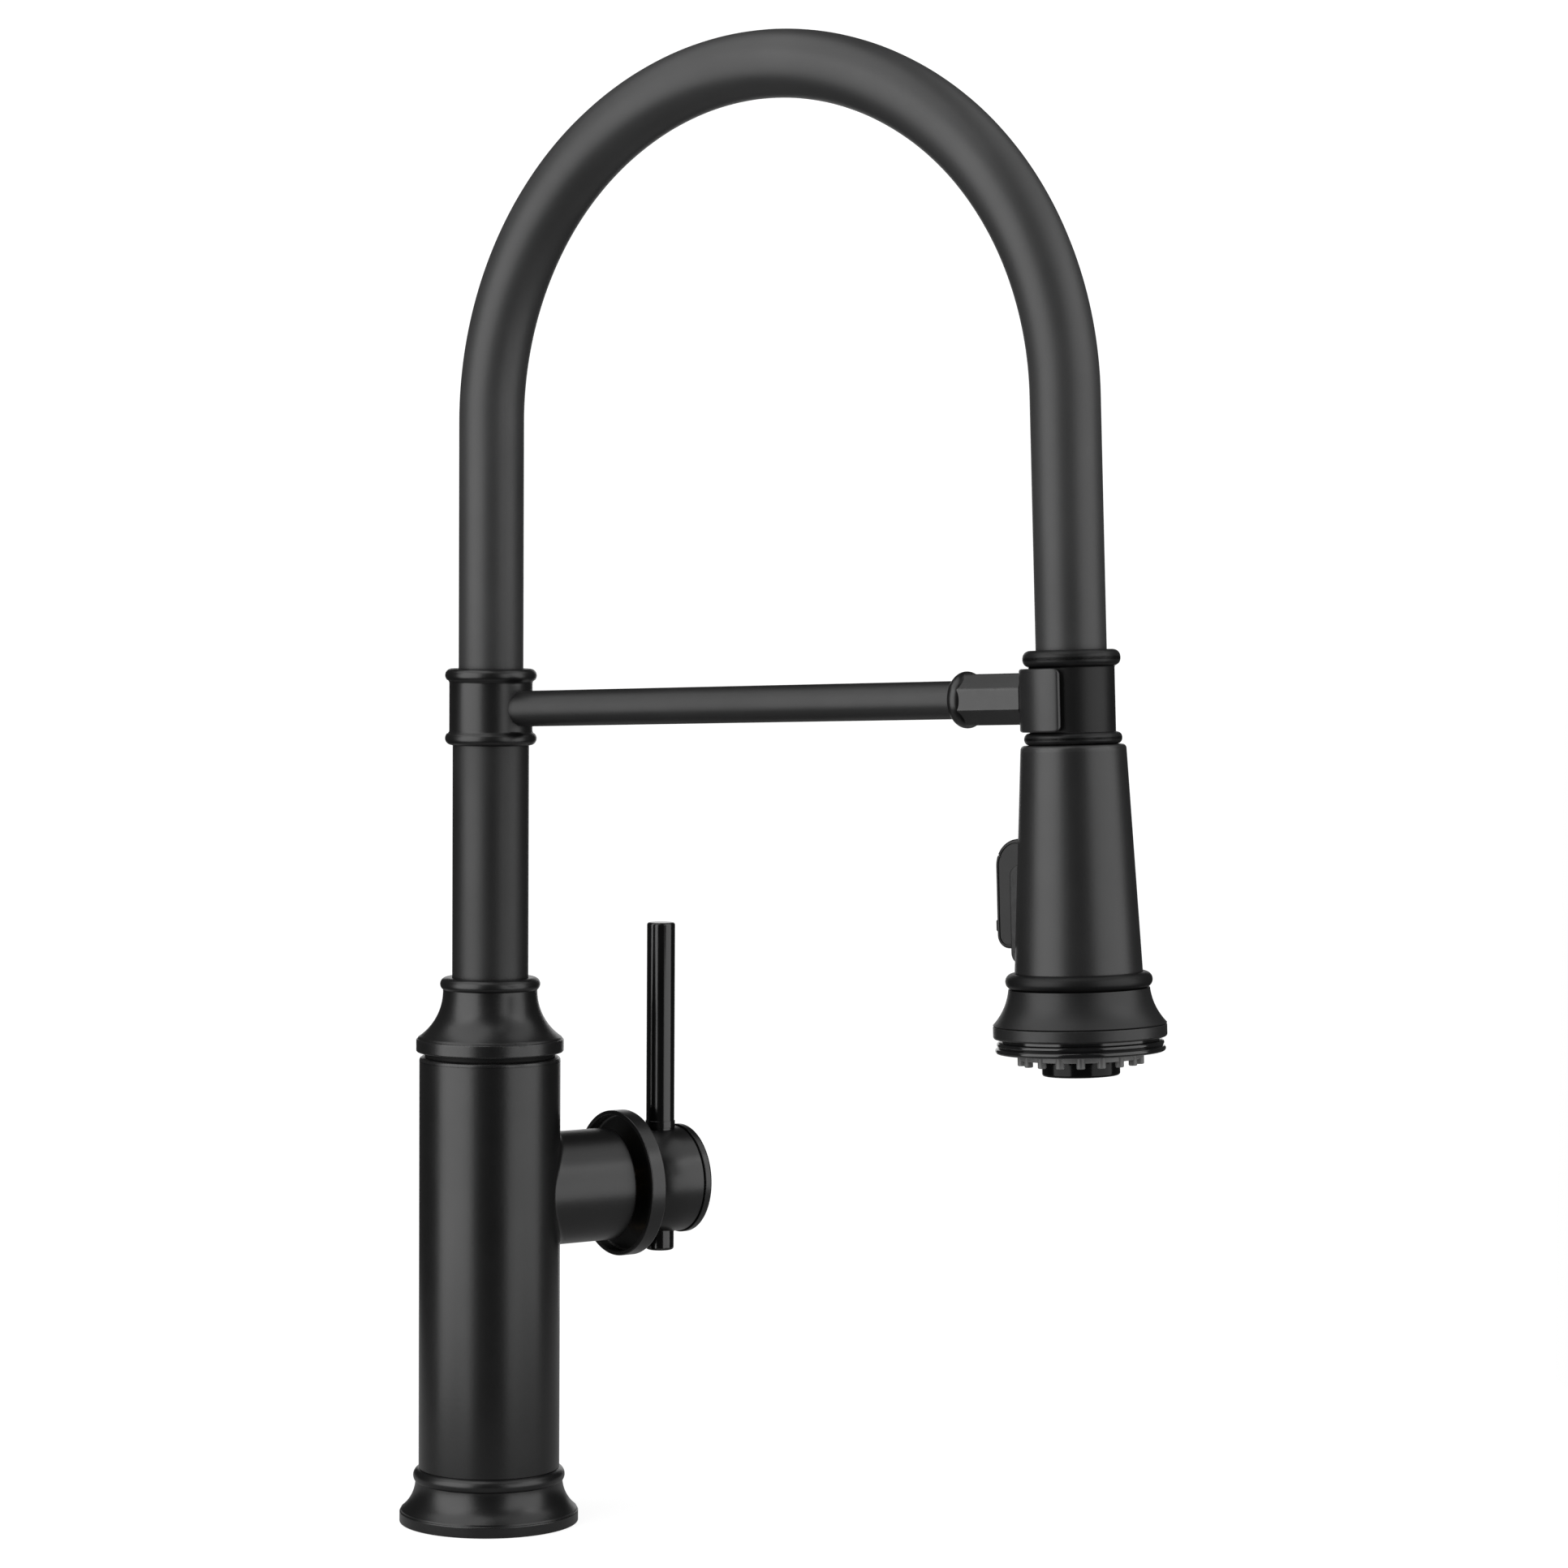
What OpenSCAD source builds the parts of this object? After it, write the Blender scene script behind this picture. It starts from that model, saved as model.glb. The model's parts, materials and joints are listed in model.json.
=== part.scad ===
// Single-lever kitchen faucet with a sleeved hose arch, a docking arm and a pull-out pre-rinse spray.
// +Z is up, the deck is z = 0, the column stands on the Z axis and the spout points along +X.

/* [Base] */
// Radius of the flange on the deck
flange_r = 31; // [30:0.5:40]
// Height of the flange's straight edge
flange_edge_h = 3.8; // [2.5:0.1:6]
// Radius of the cove above the flange's edge
flange_cove_r = 13.5; // [11.5:0.1:15]
// How far the flange's narrowest part, under its bead, stands out from the body
flange_neck_out = 1.1; // [0.6:0.1:1.6]
// Height from the deck to the top of the flange's bead
flange_h = 19; // [18.5:0.1:24]
// Height of the bead round the flange's top
flange_bead_h = 5.6; // [3:0.1:6]
// Spacing of the two mounting studs
stud_spacing = 33; // [32:0.1:34]
// Radius of a tapped stud hole, for M6
stud_hole_r = 2.5; // [1.5:0.1:2.8]
// Radius of the way through the foot for the supply hoses
hose_way_r = 11.5; // [10:0.1:12]

/* [Body] */
// Outer radius of the straight body
body_r = 24.4; // [24:0.1:25]
// Wall of the straight body
body_wall = 3; // [2.5:0.1:3.2]
// Height from the deck to the body's top
body_top = 161.9; // [158:0.1:220]
// Rounding of the body's top edge
body_edge_r = 1.2; // [0.4:0.1:2]

/* [Valve] */
// Height of the valve's axis above the deck
valve_z = 114.1; // [100:0.1:116]
// Angle from the spout at rest to the valve
valve_angle = 71; // [60:1:120]
// Outer radius of the valve's housing
valve_r = 19.7; // [19.2:0.1:20]
// Distance from the column's axis to the end of the housing
valve_end = 48; // [46:0.5:49]
// Radius of the ceramic cartridge
cartridge_r = 17.5; // [17:0.1:17.5]
// Distance from the column's axis to the cartridge's seat
seat_d = 8; // [7:0.1:9]
// Distance from the column's axis to the point the lever tilts about
tilt_d = 38; // [37:0.5:39]
// Radius of the pin the lever tilts on
tilt_pin_r = 1.5; // [1:0.1:2]

/* [Lever] */
// Outer radius of the dish that covers the valve's end
dish_r = 25.6; // [25.2:0.1:28]
// Wall of the dish
dish_wall = 1.5; // [1:0.1:2]
// Distance from the column's axis to the dish's open rim
dish_rim_d = 50.8; // [50.4:0.1:51.5]
// Distance from the column's axis to the dish's closed face
dish_face_d = 56.5; // [56.2:0.1:58]
// Radius of the hub behind the end cap
hub_r = 18.7; // [17.5:0.1:19]
// Distance from the column's axis to the end of the hub
hub_end_d = 76.7; // [76:0.1:80]
// Radius of the end cap
cap_r = 19.2; // [18:0.1:20]
// Thickness of the end cap's rim
cap_t = 2.8; // [2:0.1:5]
// Radius of the lever rod
rod_r = 5; // [3.5:0.1:5.2]
// Distance from the column's axis to the rod's axis
rod_d = 70.1; // [69.5:0.1:71]
// Height of the rod's top above the valve's axis
rod_up = 91.5; // [50:0.5:110]
// Depth of the rod's end below the valve's axis
rod_down = 25; // [22:0.5:35]

/* [Swivel] */
// Height of the dark groove between body and collar
groove_h = 1.7; // [1:0.1:3]
// How far the ring in the groove stands back from the body
glide_set = 1.9; // [1.4:0.1:2.5]
// How far the bell collar's rim stands out from the body
collar_out = 1.1; // [0.2:0.1:2.6]
// Height of the bell collar's rim
collar_rim_h = 4.3; // [3:0.1:6]
// Radius of the bell collar's cove
collar_cove_r = 19.4; // [15:0.1:19.8]
// Radius of the bell collar's neck
collar_neck_r = 16.3; // [16:0.1:17]
// Height of the bell collar without its bead
collar_h = 21.1; // [20.5:0.1:24]
// Height of a small bead, on the collar and on the ferrule
bead_h = 4.7; // [3:0.1:5]
// Radius of the collar's bead
collar_bead_r = 17.3; // [17:0.1:19]
// Radius of the spigot that turns in the waterway
spigot_r = 14; // [13.6:0.1:14.2]

/* [Riser and arm] */
// Outer radius of the riser tube
riser_r = 13.15; // [12.9:0.05:13.4]
// Wall of the riser tube
riser_wall = 1.9; // [1:0.1:2]
// Height of the ferrule's lower end above the deck
ferrule_z = 269.6; // [240:0.1:320]
// Length of the ferrule with its two beads
ferrule_h = 26.4; // [25:0.1:30]
// Radius of the ferrule between its beads
ferrule_r = 14.35; // [14:0.05:14.8]
// Radius of the ferrule's beads
ferrule_bead_r = 15.8; // [15.4:0.1:17]
// Height of the arm's root above the ferrule's lower end
arm_root_h = 12.3; // [11.5:0.1:13]
// Radius of the docking arm
arm_r = 6.12; // [4:0.02:6.2]
// Slope of the docking arm, up from the horizontal
arm_tilt = 2.2; // [0:0.1:5]
// Distance along the arm from the column's axis to the spray's axis
reach = 238.7; // [200:0.1:280]
// Half of the octagonal holder's width across its flats
holder_a = 8.15; // [7.6:0.05:8.4]
// Length of the octagonal holder in front of its bead
holder_len = 20; // [18:0.5:26]
// Radius of the bead at the holder's start
holder_bead_r = 9.1; // [8.8:0.1:10]
// Length of that bead along the arm
holder_bead_h = 6.4; // [5:0.1:7]

/* [Clip and neck] */
// Wall of the spray's neck, which the clip holds
neck_wall = 2.2; // [1.95:0.05:2.35]
// Wall of the clip
clip_wall = 2.8; // [2.3:0.05:4.2]
// Height of the clip
clip_h = 19.9; // [16:0.1:20]
// Angle that the clip wraps to each side of its back
clip_wrap = 109; // [95:1:115]
// Rounding of the clip's free corners
clip_corner_r = 2; // [1:0.1:3]
// How far the beads above and below the clip stand out from the neck
neck_bead_out = 1.9; // [1.5:0.05:2.5]
// Height of the upper neck bead
upper_bead_h = 5.2; // [4:0.1:6]
// Height of the lower neck bead
lower_bead_h = 3.7; // [3:0.1:5]
// How far the spray pulls forward out of the clip
release_travel = 60; // [40:1:80]

/* [Hose arch] */
// Outer radius of the hose's sleeve
sleeve_r = 11.15; // [10.5:0.05:11.2]
// Wall of the sleeve
sleeve_wall = 2.1; // [1.5:0.1:2.2]
// Height above the ferrule at which the arch starts to bend
arch_start_h = 85; // [40:1:160]
// Bending radius of the arch's two sides
arch_side_r = 113.3; // [100:0.1:116]
// Angle that each side bends through
arch_side_angle = 54; // [40:1:70]
// Outer radius of the arch spring
spring_r = 8.9; // [8.5:0.1:9]
// Outer radius of the water hose inside
hose_r = 6.6; // [5.5:0.1:7]
// Wall of the water hose
hose_wall = 2.2; // [1.5:0.1:2.4]

/* [Spray head] */
// Length of the head's tapered shell
head_len = 71.3; // [70:0.1:85]
// Radius of the shell's upper end
head_top_r = 16.55; // [16:0.05:17]
// Radius of the shell's lower end
head_low_r = 20.1; // [19.9:0.05:20.6]
// Wall of the shell
head_wall = 2.2; // [1.5:0.1:2.4]
// Rounding of the shell's upper edge
head_edge_r = 1.4; // [0.5:0.1:2]
// Height of the bead under the shell
head_bead_h = 5.1; // [4:0.1:5.4]
// Radius of that bead
head_bead_r = 23.1; // [23:0.1:25]
// Height of the bell skirt
bell_h = 15.4; // [14.5:0.1:18]
// Radius of the bell skirt's neck
bell_neck_r = 22.1; // [22:0.1:22.6]
// Radius of the bell skirt's cove
bell_cove_r = 19; // [17:0.1:22]
// Radius of the bell skirt's rim
bell_r = 27.3; // [26.8:0.1:29]
// Height of the bell skirt's rim
bell_rim_h = 4; // [3:0.1:5]
// Radius of the gloss face ring
face_r = 26.8; // [26:0.1:27]
// Height of the gloss face ring
face_h = 3.7; // [3:0.1:5]
// Number of spray nozzles
nozzle_count = 18; // [12:1:24]
// Radius of the circle of nozzles
nozzle_pitch_r = 18.7; // [17.5:0.1:19]
// Angle of the first nozzle from the arm
nozzle_turn = 3; // [0:1:20]
// Outer radius of a nozzle
nozzle_r = 1.35; // [1:0.05:1.6]
// Radius of a nozzle's bore
nozzle_bore_r = 0.5; // [0.3:0.1:0.7]
// Outer radius of the aerator's housing
aerator_r = 12.3; // [11:0.1:13]
// How far the aerator stands below the face ring
aerator_drop = 7.3; // [5:0.1:10]

/* [Rocker] */
// Half of the rocker's width
rocker_half_w = 7.4; // [6:0.1:7.6]
// Distance from the head's axis to the rocker's face
rocker_face_d = 25.7; // [25:0.1:28]
// Depth of the rocker's upper end below the arm's axis
rocker_top_h = 43.9; // [42:0.1:46]
// Length of the rocker
rocker_len = 34.6; // [30:0.1:36]
// Rounding of the rocker's upper end
rocker_top_r = 8.6; // [3:0.1:10]
// Rounding of the rocker's lower end
rocker_low_r = 4.2; // [2:0.1:5]
// Half of the width of the bezel round the rocker
bezel_half_w = 8.5; // [8.3:0.1:9.5]
// Distance from the head's axis to the bezel's raised edge
bezel_face_d = 19.9; // [19.8:0.1:22]
// Rounding of the bezel's lower edge
bezel_edge_r = 3.5; // [1:0.1:4]
// Radius of the pin the rocker turns on
rocker_pin_r = 1; // [0.8:0.1:1.3]
// Angle the rocker turns to each side
rocker_swing = 4; // [2:0.5:5]

/* [Fits] */
// Gap round a piece that is seated or pressed into another
fit = 0.05; // [0.02:0.01:0.1]
// Gap round a shaft or pin that turns
running = 0.06; // [0.03:0.01:0.1]
// Gap between pieces that move past each other
clear = 0.3; // [0.25:0.05:0.5]

/* [Hidden] */
$fn = 96;
// Allowance that carries a cut past the face it starts from
over = 1;

body_bore_r = body_r - body_wall;
flange_neck_r = body_r + flange_neck_out;
collar_r = body_r + collar_out;
glide_r = body_r - glide_set;
shell_low_r = body_r - 1.4;
shell_low_z = 4;
foot_z = 0;
foot_h = 12;
seal_h = 1.5;
seal_in_r = flange_r - 4;
seal_out_r = flange_r - 1.4;
bead_tube_r = bead_h / 2;

water_low_z = valve_z - 26;
socket_z = valve_z + cartridge_r + 4.5;
socket_h = 15;
spigot_flange_h = 3;
spigot_flange_r = spigot_r + 3;
spigot_flange_z = socket_z + socket_h;
water_top_z = spigot_flange_z + spigot_flange_h + 2.5;
nut_top_z = body_top - 0.6;
collar_z = body_top + groove_h;
spigot_neck_r = riser_r - 0.15;
riser_z = collar_z + 12.5;
riser_in_r = riser_r - riser_wall;
riser_top_z = ferrule_z + 5.4;
spigot_top_z = riser_z + 12;
collar_bead_z = collar_z + collar_h + bead_tube_r;
inlet_r = 4.5;
inlet_side = 5.6;
inlet_back = 1.5;
inlet_top_z = valve_z - 2;
inlet_step = 0.6;
port_r = 3;
port_drop = 5.2;
outlet_rise = 8.5;

valve_bore_r = cartridge_r + 0.2;
cart_len = 28;
cart_end_d = seat_d + cart_len;
disc_d = seat_d + 6;
disc_t = 4;
disc_r = cartridge_r - 2.1;
carrier_d = disc_d + 2 * disc_t + 0.3;
carrier_end_d = cart_end_d - 2.2;
carrier_neck_r = 12.7;
stem_r = 4.5;
stem_in_d = carrier_d + 1.2;
stem_out_d = dish_face_d + 6;
slot_half_w = stem_r + 0.25;
nut_end_d = valve_end + 1.2;

arm_z = ferrule_z + arm_root_h;
arm_start_d = ferrule_r - 2;
neck_bore_r = sleeve_r + 0.1;
neck_r = neck_bore_r + neck_wall;
neck_bead_r = neck_r + neck_bead_out;
clip_bore_r = neck_r + clear;
clip_r = clip_bore_r + clip_wall;
holder_d = reach - clip_r - holder_len - holder_bead_h;
arm_end_d = holder_d + 17;
upper_bead_low = clip_h / 2 + 0.45 - 0.55;
lower_bead_top = -clip_h / 2 - 0.85;
neck_top_h = upper_bead_low + upper_bead_h;
neck_low_h = lower_bead_top - lower_bead_h;
neck_step_h = 3;
shank_r = 8;

sleeve_z = arm_z + 3;
sleeve_end_h = neck_step_h + 1;
sleeve_in_r = sleeve_r - sleeve_wall;
spring_in_r = spring_r - 1.2;
hose_in_r = hose_r - hose_wall;
arch_start_z = ferrule_z + ferrule_h + arch_start_h;
arch_total = 180 - arm_tilt;
arch_top_angle = arch_total - 2 * arch_side_angle;
spray_x = reach * cos(arm_tilt);
spray_z = arm_z + reach * sin(arm_tilt);
// Sideways and upward way of an arc of radius 1 that turns from angle a to angle b, both from upright
function arc_dx(a, b) = cos(a) - cos(b);
function arc_dz(a, b) = sin(b) - sin(a);
arch_bend_2 = arch_side_angle + arch_top_angle;
side_dx = arch_side_r * (arc_dx(0, arch_side_angle) + arc_dx(arch_bend_2, arch_total));
side_dz = arch_side_r * (arc_dz(0, arch_side_angle) + arc_dz(arch_bend_2, arch_total));
top_dx = arc_dx(arch_side_angle, arch_bend_2);
top_dz = arc_dz(arch_side_angle, arch_bend_2);
// Radius of the arch's top, from the condition that the arch ends on the spray's axis
arch_top_r = ((spray_x - side_dx) * cos(arm_tilt) + (spray_z - arch_start_z - side_dz) * sin(arm_tilt))
    / (top_dx * cos(arm_tilt) + top_dz * sin(arm_tilt));
arch_end_x = side_dx + arch_top_r * top_dx;
arch_end_z = arch_start_z + side_dz + arch_top_r * top_dz;

head_top_h = neck_low_h - 0.15;
head_low_h = head_top_h - head_len;
core_r = 12;
core_top_h = head_top_h - head_wall;
core_low_h = head_low_h + 1;
shank_low_h = core_top_h - 12;
bell_top_h = head_low_h - head_bead_h;
bell_low_h = bell_top_h - bell_h;
face_top_h = bell_low_h - 0.9;
face_low_h = face_top_h - face_h;
aerator_low_h = face_low_h - aerator_drop;
plate_r = face_r - 3.4;
mat_top_h = face_low_h + 3.4;
screw_seat_h = face_low_h + 11;
screw_angles = [60, 180, 300];
side_way_d = 7.5;
side_way_h = face_low_h + 6.1;
bell_ledge_h = bell_low_h + bell_rim_h - 0.4;
rocker_mid_h = rocker_top_h + rocker_len / 2 + 1;
pivot_d = 18.4;
pocket_d = 14.4;
bezel_low_h = rocker_top_h + rocker_len + 4.8;
bezel_wall_t = bezel_half_w - rocker_half_w - clear;
bezel_raised_h = rocker_top_h + 11.6;
spool_drop = 9;
spool_r = 2.6;
spool_tip_d = 17.6;
spool_travel = spool_drop * rocker_swing * PI / 180;

// ---------- shared shapes ----------

// A ring or tube round the Z axis from z0 to z1
module tube(r_out, r_in, z0, z1) {
    rotate_extrude()
        translate([r_in, z0])
            square([r_out - r_in, z1 - z0]);
}

// A plain cylinder from z0 to z1
module rod(r, z0, z1) {
    translate([0, 0, z0])
        cylinder(r = r, h = z1 - z0);
}

// An outline from r_in to r_out and z0 to z1 whose outer corners are rounded by c
module rounded_band(r_in, r_out, z0, z1, c) {
    translate([r_in, z0])
        square([r_out - c - r_in, z1 - z0]);
    translate([r_in, z0 + c])
        square([r_out - r_in, z1 - z0 - 2 * c]);
    for (z = [z0 + c, z1 - c])
        translate([r_out - c, z])
            circle(r = c);
}

// An outline that flares from r_neck at the top down to r_rim, hollowed by a cove of radius r
// whose centre lies up above the outline's top
module cove_outline(r_in, r_neck, r_rim, z0, z1, r, up = 0) {
    difference() {
        translate([r_in, z0])
            square([r_rim - r_in, z1 - z0]);
        translate([r_neck + r, z1 + up])
            circle(r = r);
    }
}

// An O-ring
module o_ring(r_mid, r_tube, z) {
    rotate_extrude()
        translate([r_mid, z])
            circle(r = r_tube);
}

// Puts its children on the valve: their Z runs out along the valve's axis and their Y is up
module on_valve() {
    translate([0, 0, valve_z])
        rotate([0, 0, valve_angle])
            rotate([0, 90, 0])
                rotate([0, 0, 90])
                    children();
}

// Puts its children on the docking arm: their Z runs out along the arm
module on_arm() {
    translate([0, 0, arm_z])
        rotate([0, 90 - arm_tilt, 0])
            children();
}

// Puts its children on the spray's axis: their Z is up along the neck, 0 at the arm's axis
module on_spray() {
    translate([spray_x, 0, spray_z])
        rotate([0, -arm_tilt, 0])
            children();
}

// ---------- base ----------

module base_flange() {
    bead_r = flange_bead_h / 2;
    color([0.16, 0.16, 0.16])
        difference() {
            rotate_extrude()
                union() {
                    rounded_band(shell_low_r + fit, flange_r, 0, flange_edge_h, 0.5);
                    cove_outline(shell_low_r + fit, flange_neck_r, flange_r - 0.4, flange_edge_h - 0.6,
                        flange_h - flange_bead_h + 1.6, flange_cove_r);
                    translate([body_r + 1.9 - bead_r, flange_h - bead_r])
                        circle(r = bead_r);
                    translate([shell_low_r + fit, 0])
                        square([body_r + 1.9 - bead_r - shell_low_r - fit, flange_h]);
                    translate([body_bore_r + 0.6, 0])
                        square([3, shell_low_z - fit]);
                }
            rod(shell_low_r + fit, shell_low_z - fit, flange_h + over);
            tube(seal_out_r + fit, seal_in_r - fit, -over, seal_h);
        }
}

module base_seal() {
    color([0.08, 0.08, 0.08])
        tube(seal_out_r, seal_in_r, 0, seal_h);
}

module mount_foot() {
    color([0.72, 0.56, 0.3])
        difference() {
            rod(body_bore_r - fit, foot_z, foot_z + foot_h);
            rod(hose_way_r, -over, foot_z + foot_h + over);
            for (side = [-1, 1])
                translate([side * stud_spacing / 2, 0, 0])
                    rod(stud_hole_r, -over, foot_z + foot_h + over);
        }
}

module body_shell() {
    color([0.15, 0.15, 0.15])
        difference() {
            union() {
                rotate_extrude()
                    union() {
                        translate([body_bore_r, shell_low_z])
                            square([shell_low_r - body_bore_r, body_top - shell_low_z]);
                        translate([body_bore_r, flange_h])
                            square([body_wall, body_top - body_edge_r - flange_h]);
                        translate([body_bore_r, flange_h])
                            square([body_wall - body_edge_r, body_top - flange_h]);
                        translate([body_r - body_edge_r, body_top - body_edge_r])
                            circle(r = body_edge_r);
                    }
                on_valve()
                    rotate_extrude()
                        rounded_band(0, valve_r, seat_d, valve_end, 0.6);
            }
            rod(body_bore_r, shell_low_z - over, body_top + over);
            on_valve()
                rod(valve_bore_r, seat_d - over, valve_end + over);
        }
}

module waterway() {
    color([0.75, 0.6, 0.35])
        difference() {
            rod(body_bore_r - fit, water_low_z, water_top_z);
            on_valve()
                rod(cartridge_r + 0.12, seat_d, body_r + over);
            // spigot socket, its flange's recess and the nut's recess
            rod(spigot_r + running, socket_z, water_top_z + over);
            rod(spigot_flange_r + clear, spigot_flange_z, water_top_z + over);
            // hot and cold inlets from below, the hot one a little deeper, each with its way to the cartridge
            rotate([0, 0, valve_angle])
                for (side = [-1, 1])
                    translate([-inlet_back, side * inlet_side, 0])
                        rod(inlet_r, water_low_z - over, inlet_top_z + side * inlet_step);
            on_valve()
                for (side = [-1, 1])
                    translate([side * inlet_side, -port_drop, 0])
                        rod(port_r, -inlet_back, seat_d + over);
            // mixed water's way from the cartridge to the spigot's socket
            on_valve()
                translate([0, outlet_rise, 0])
                    rod(port_r, -1, seat_d + over);
            rod(port_r, valve_z + outlet_rise, socket_z + over);
        }
}

module swivel_nut() {
    color([0.72, 0.56, 0.3])
        difference() {
            union() {
                rod(body_bore_r - fit, water_top_z, nut_top_z);
                rod(spigot_flange_r, spigot_flange_z + spigot_flange_h + clear, nut_top_z);
            }
            rod(spigot_neck_r + clear, spigot_flange_z, nut_top_z + over);
        }
}

module glide_ring() {
    color([0.05, 0.05, 0.05])
        tube(glide_r, spigot_neck_r + 1, body_top, collar_z - 0.1);
}

// ---------- cartridge ----------

module cartridge_body() {
    color([0.85, 0.85, 0.82])
        on_valve()
            difference() {
                rod(cartridge_r, seat_d, cart_end_d);
                rod(disc_r + fit, disc_d, carrier_end_d);
                rod(carrier_neck_r + clear, disc_d, cart_end_d + over);
                for (side = [-1, 1])
                    translate([side * inlet_side, -port_drop, 0]) {
                        rod(2.2, seat_d - over, disc_d + over);
                        rod(4.3, seat_d - over, seat_d + 1.2);
                    }
                translate([0, outlet_rise, 0]) {
                    rod(2.2, seat_d - over, disc_d + over);
                    rod(4.3, seat_d - over, seat_d + 1.2);
                }
            }
}

module cartridge_seals() {
    color([0.1, 0.1, 0.1])
        on_valve()
            for (p = [[-inlet_side, -port_drop], [inlet_side, -port_drop], [0, outlet_rise]])
                translate([p[0], p[1], 0])
                    tube(4.2, 2.9, seat_d, seat_d + 1.2);
}

module fixed_disc() {
    color([0.95, 0.95, 0.93])
        on_valve()
            difference() {
                rod(disc_r, disc_d, disc_d + disc_t);
                for (p = [[-inlet_side, -port_drop], [inlet_side, -port_drop], [0, outlet_rise]])
                    translate([p[0], p[1], 0])
                        rod(2.2, disc_d - over, disc_d + disc_t + over);
            }
}

module moving_disc() {
    color([0.9, 0.9, 0.88])
        on_valve()
            difference() {
                rod(disc_r - 0.6, disc_d + disc_t + 0.05, disc_d + 2 * disc_t);
                translate([0, 1.5, 0])
                    rod(6.5, disc_d + disc_t, disc_d + disc_t + 2);
            }
}

module cartridge_carrier() {
    color([0.25, 0.35, 0.6])
        on_valve()
            difference() {
                union() {
                    rod(disc_r - clear, carrier_d - clear, carrier_end_d - clear);
                    rod(carrier_neck_r, carrier_d, tilt_d + 4);
                }
                translate([-slot_half_w, -10.5, carrier_d - over])
                    cube([2 * slot_half_w, 21, tilt_d + 5 + over - carrier_d]);
                translate([0, 0, tilt_d])
                    rotate([0, 90, 0])
                        rod(tilt_pin_r + fit, -carrier_neck_r - over, carrier_neck_r + over);
            }
}

module tilt_pin() {
    color([0.7, 0.7, 0.72])
        on_valve()
            translate([0, 0, tilt_d])
                rotate([0, 90, 0])
                    rod(tilt_pin_r, -carrier_neck_r + 0.7, carrier_neck_r - 0.7);
}

module cartridge_nut() {
    color([0.72, 0.56, 0.3])
        on_valve()
            difference() {
                union() {
                    rod(valve_bore_r - fit, cart_end_d, nut_end_d - 1.6);
                    translate([0, 0, nut_end_d - 1.6])
                        cylinder(r1 = valve_bore_r - fit, r2 = valve_bore_r - 2, h = 1.6);
                }
                rod(carrier_neck_r + clear, cart_end_d - over, nut_end_d + over);
            }
}

// ---------- lever ----------

module lever_stem() {
    color([0.7, 0.58, 0.36])
        on_valve()
            difference() {
                rod(stem_r, stem_in_d, stem_out_d);
                translate([0, 0, tilt_d])
                    rotate([0, 90, 0])
                        rod(tilt_pin_r + running, -stem_r - over, stem_r + over);
            }
}

module lever_dish() {
    color([0.15, 0.15, 0.15])
        on_valve()
            rotate_extrude()
                difference() {
                    rounded_band(stem_r + 2, dish_r, dish_rim_d, dish_face_d, 0.5);
                    translate([0, dish_rim_d - over])
                        square([dish_r - dish_wall, dish_face_d - dish_wall - dish_rim_d + over]);
                }
}

module lever_hub() {
    dome_r = 9;
    hub_d = dish_face_d;
    color([0.15, 0.15, 0.15])
        on_valve()
            difference() {
                rotate_extrude()
                    union() {
                        translate([0, hub_d])
                            square([hub_r - dome_r, hub_end_d - hub_d]);
                        translate([0, hub_d + dome_r])
                            square([hub_r, hub_end_d - hub_d - dome_r]);
                        intersection() {
                            translate([hub_r - dome_r, hub_d + dome_r])
                                circle(r = dome_r);
                            translate([0, hub_d])
                                square([hub_r, dome_r]);
                        }
                    }
                rod(stem_r + fit, hub_d - over, stem_out_d + 0.3);
                translate([0, 0, rod_d])
                    rotate([90, 0, 0])
                        rod(rod_r + fit, -hub_r - over, hub_r + over);
                rod(hub_r - 3.7, hub_end_d - 0.8, hub_end_d + over);
                translate([0, 0, dish_face_d + 3])
                    rotate([90, 0, 0])
                        rod(1.5 + fit, 0, hub_r + over);
            }
}

module hub_grub_screw() {
    socket_depth = 2;
    color([0.3, 0.3, 0.3])
        on_valve()
            translate([0, 0, dish_face_d + 3])
                rotate([90, 0, 0])
                    difference() {
                        rod(1.5, stem_r + fit, stem_r + 7);
                        translate([0, 0, stem_r + 7 - socket_depth])
                            cylinder(r = 0.85, h = socket_depth + over, $fn = 6);
                    }
}

module lever_rod() {
    end_r = 0.9;
    collar_up = hub_r;
    color([0.15, 0.15, 0.15])
        on_valve()
            translate([0, 0, rod_d])
                rotate([-90, 0, 0])
                    rotate_extrude()
                        union() {
                            rounded_band(0, rod_r, -rod_down, rod_up, end_r);
                            translate([0, collar_up])
                                square([rod_r + 0.25, 2.4]);
                        }
}

module lever_end_cap() {
    color([0.15, 0.15, 0.15])
        on_valve()
            rotate_extrude()
                union() {
                    rounded_band(0, cap_r, hub_end_d + 0.4, hub_end_d + 0.4 + cap_t, 1);
                    translate([0, hub_end_d])
                        square([hub_r - 0.5, 1]);
                    translate([0, hub_end_d - 0.8])
                        square([hub_r - 3.7 - fit, 1]);
                }
}

// ---------- swivel, collar and riser ----------

module swivel_spigot() {
    groove_r = 1.4;
    color([0.72, 0.56, 0.3])
        difference() {
            union() {
                rod(spigot_r, socket_z + 0.6, spigot_flange_z + spigot_flange_h);
                rod(spigot_flange_r, spigot_flange_z + 0.1, spigot_flange_z + spigot_flange_h);
                rod(spigot_neck_r, spigot_flange_z, riser_z);
                rod(riser_in_r - fit, riser_z - over, spigot_top_z);
            }
            rod(6.5, socket_z, spigot_top_z + over);
            for (z = [socket_z + 4, socket_z + 9.5])
                rotate_extrude()
                    translate([spigot_r, z])
                        circle(r = groove_r);
        }
}

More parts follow.
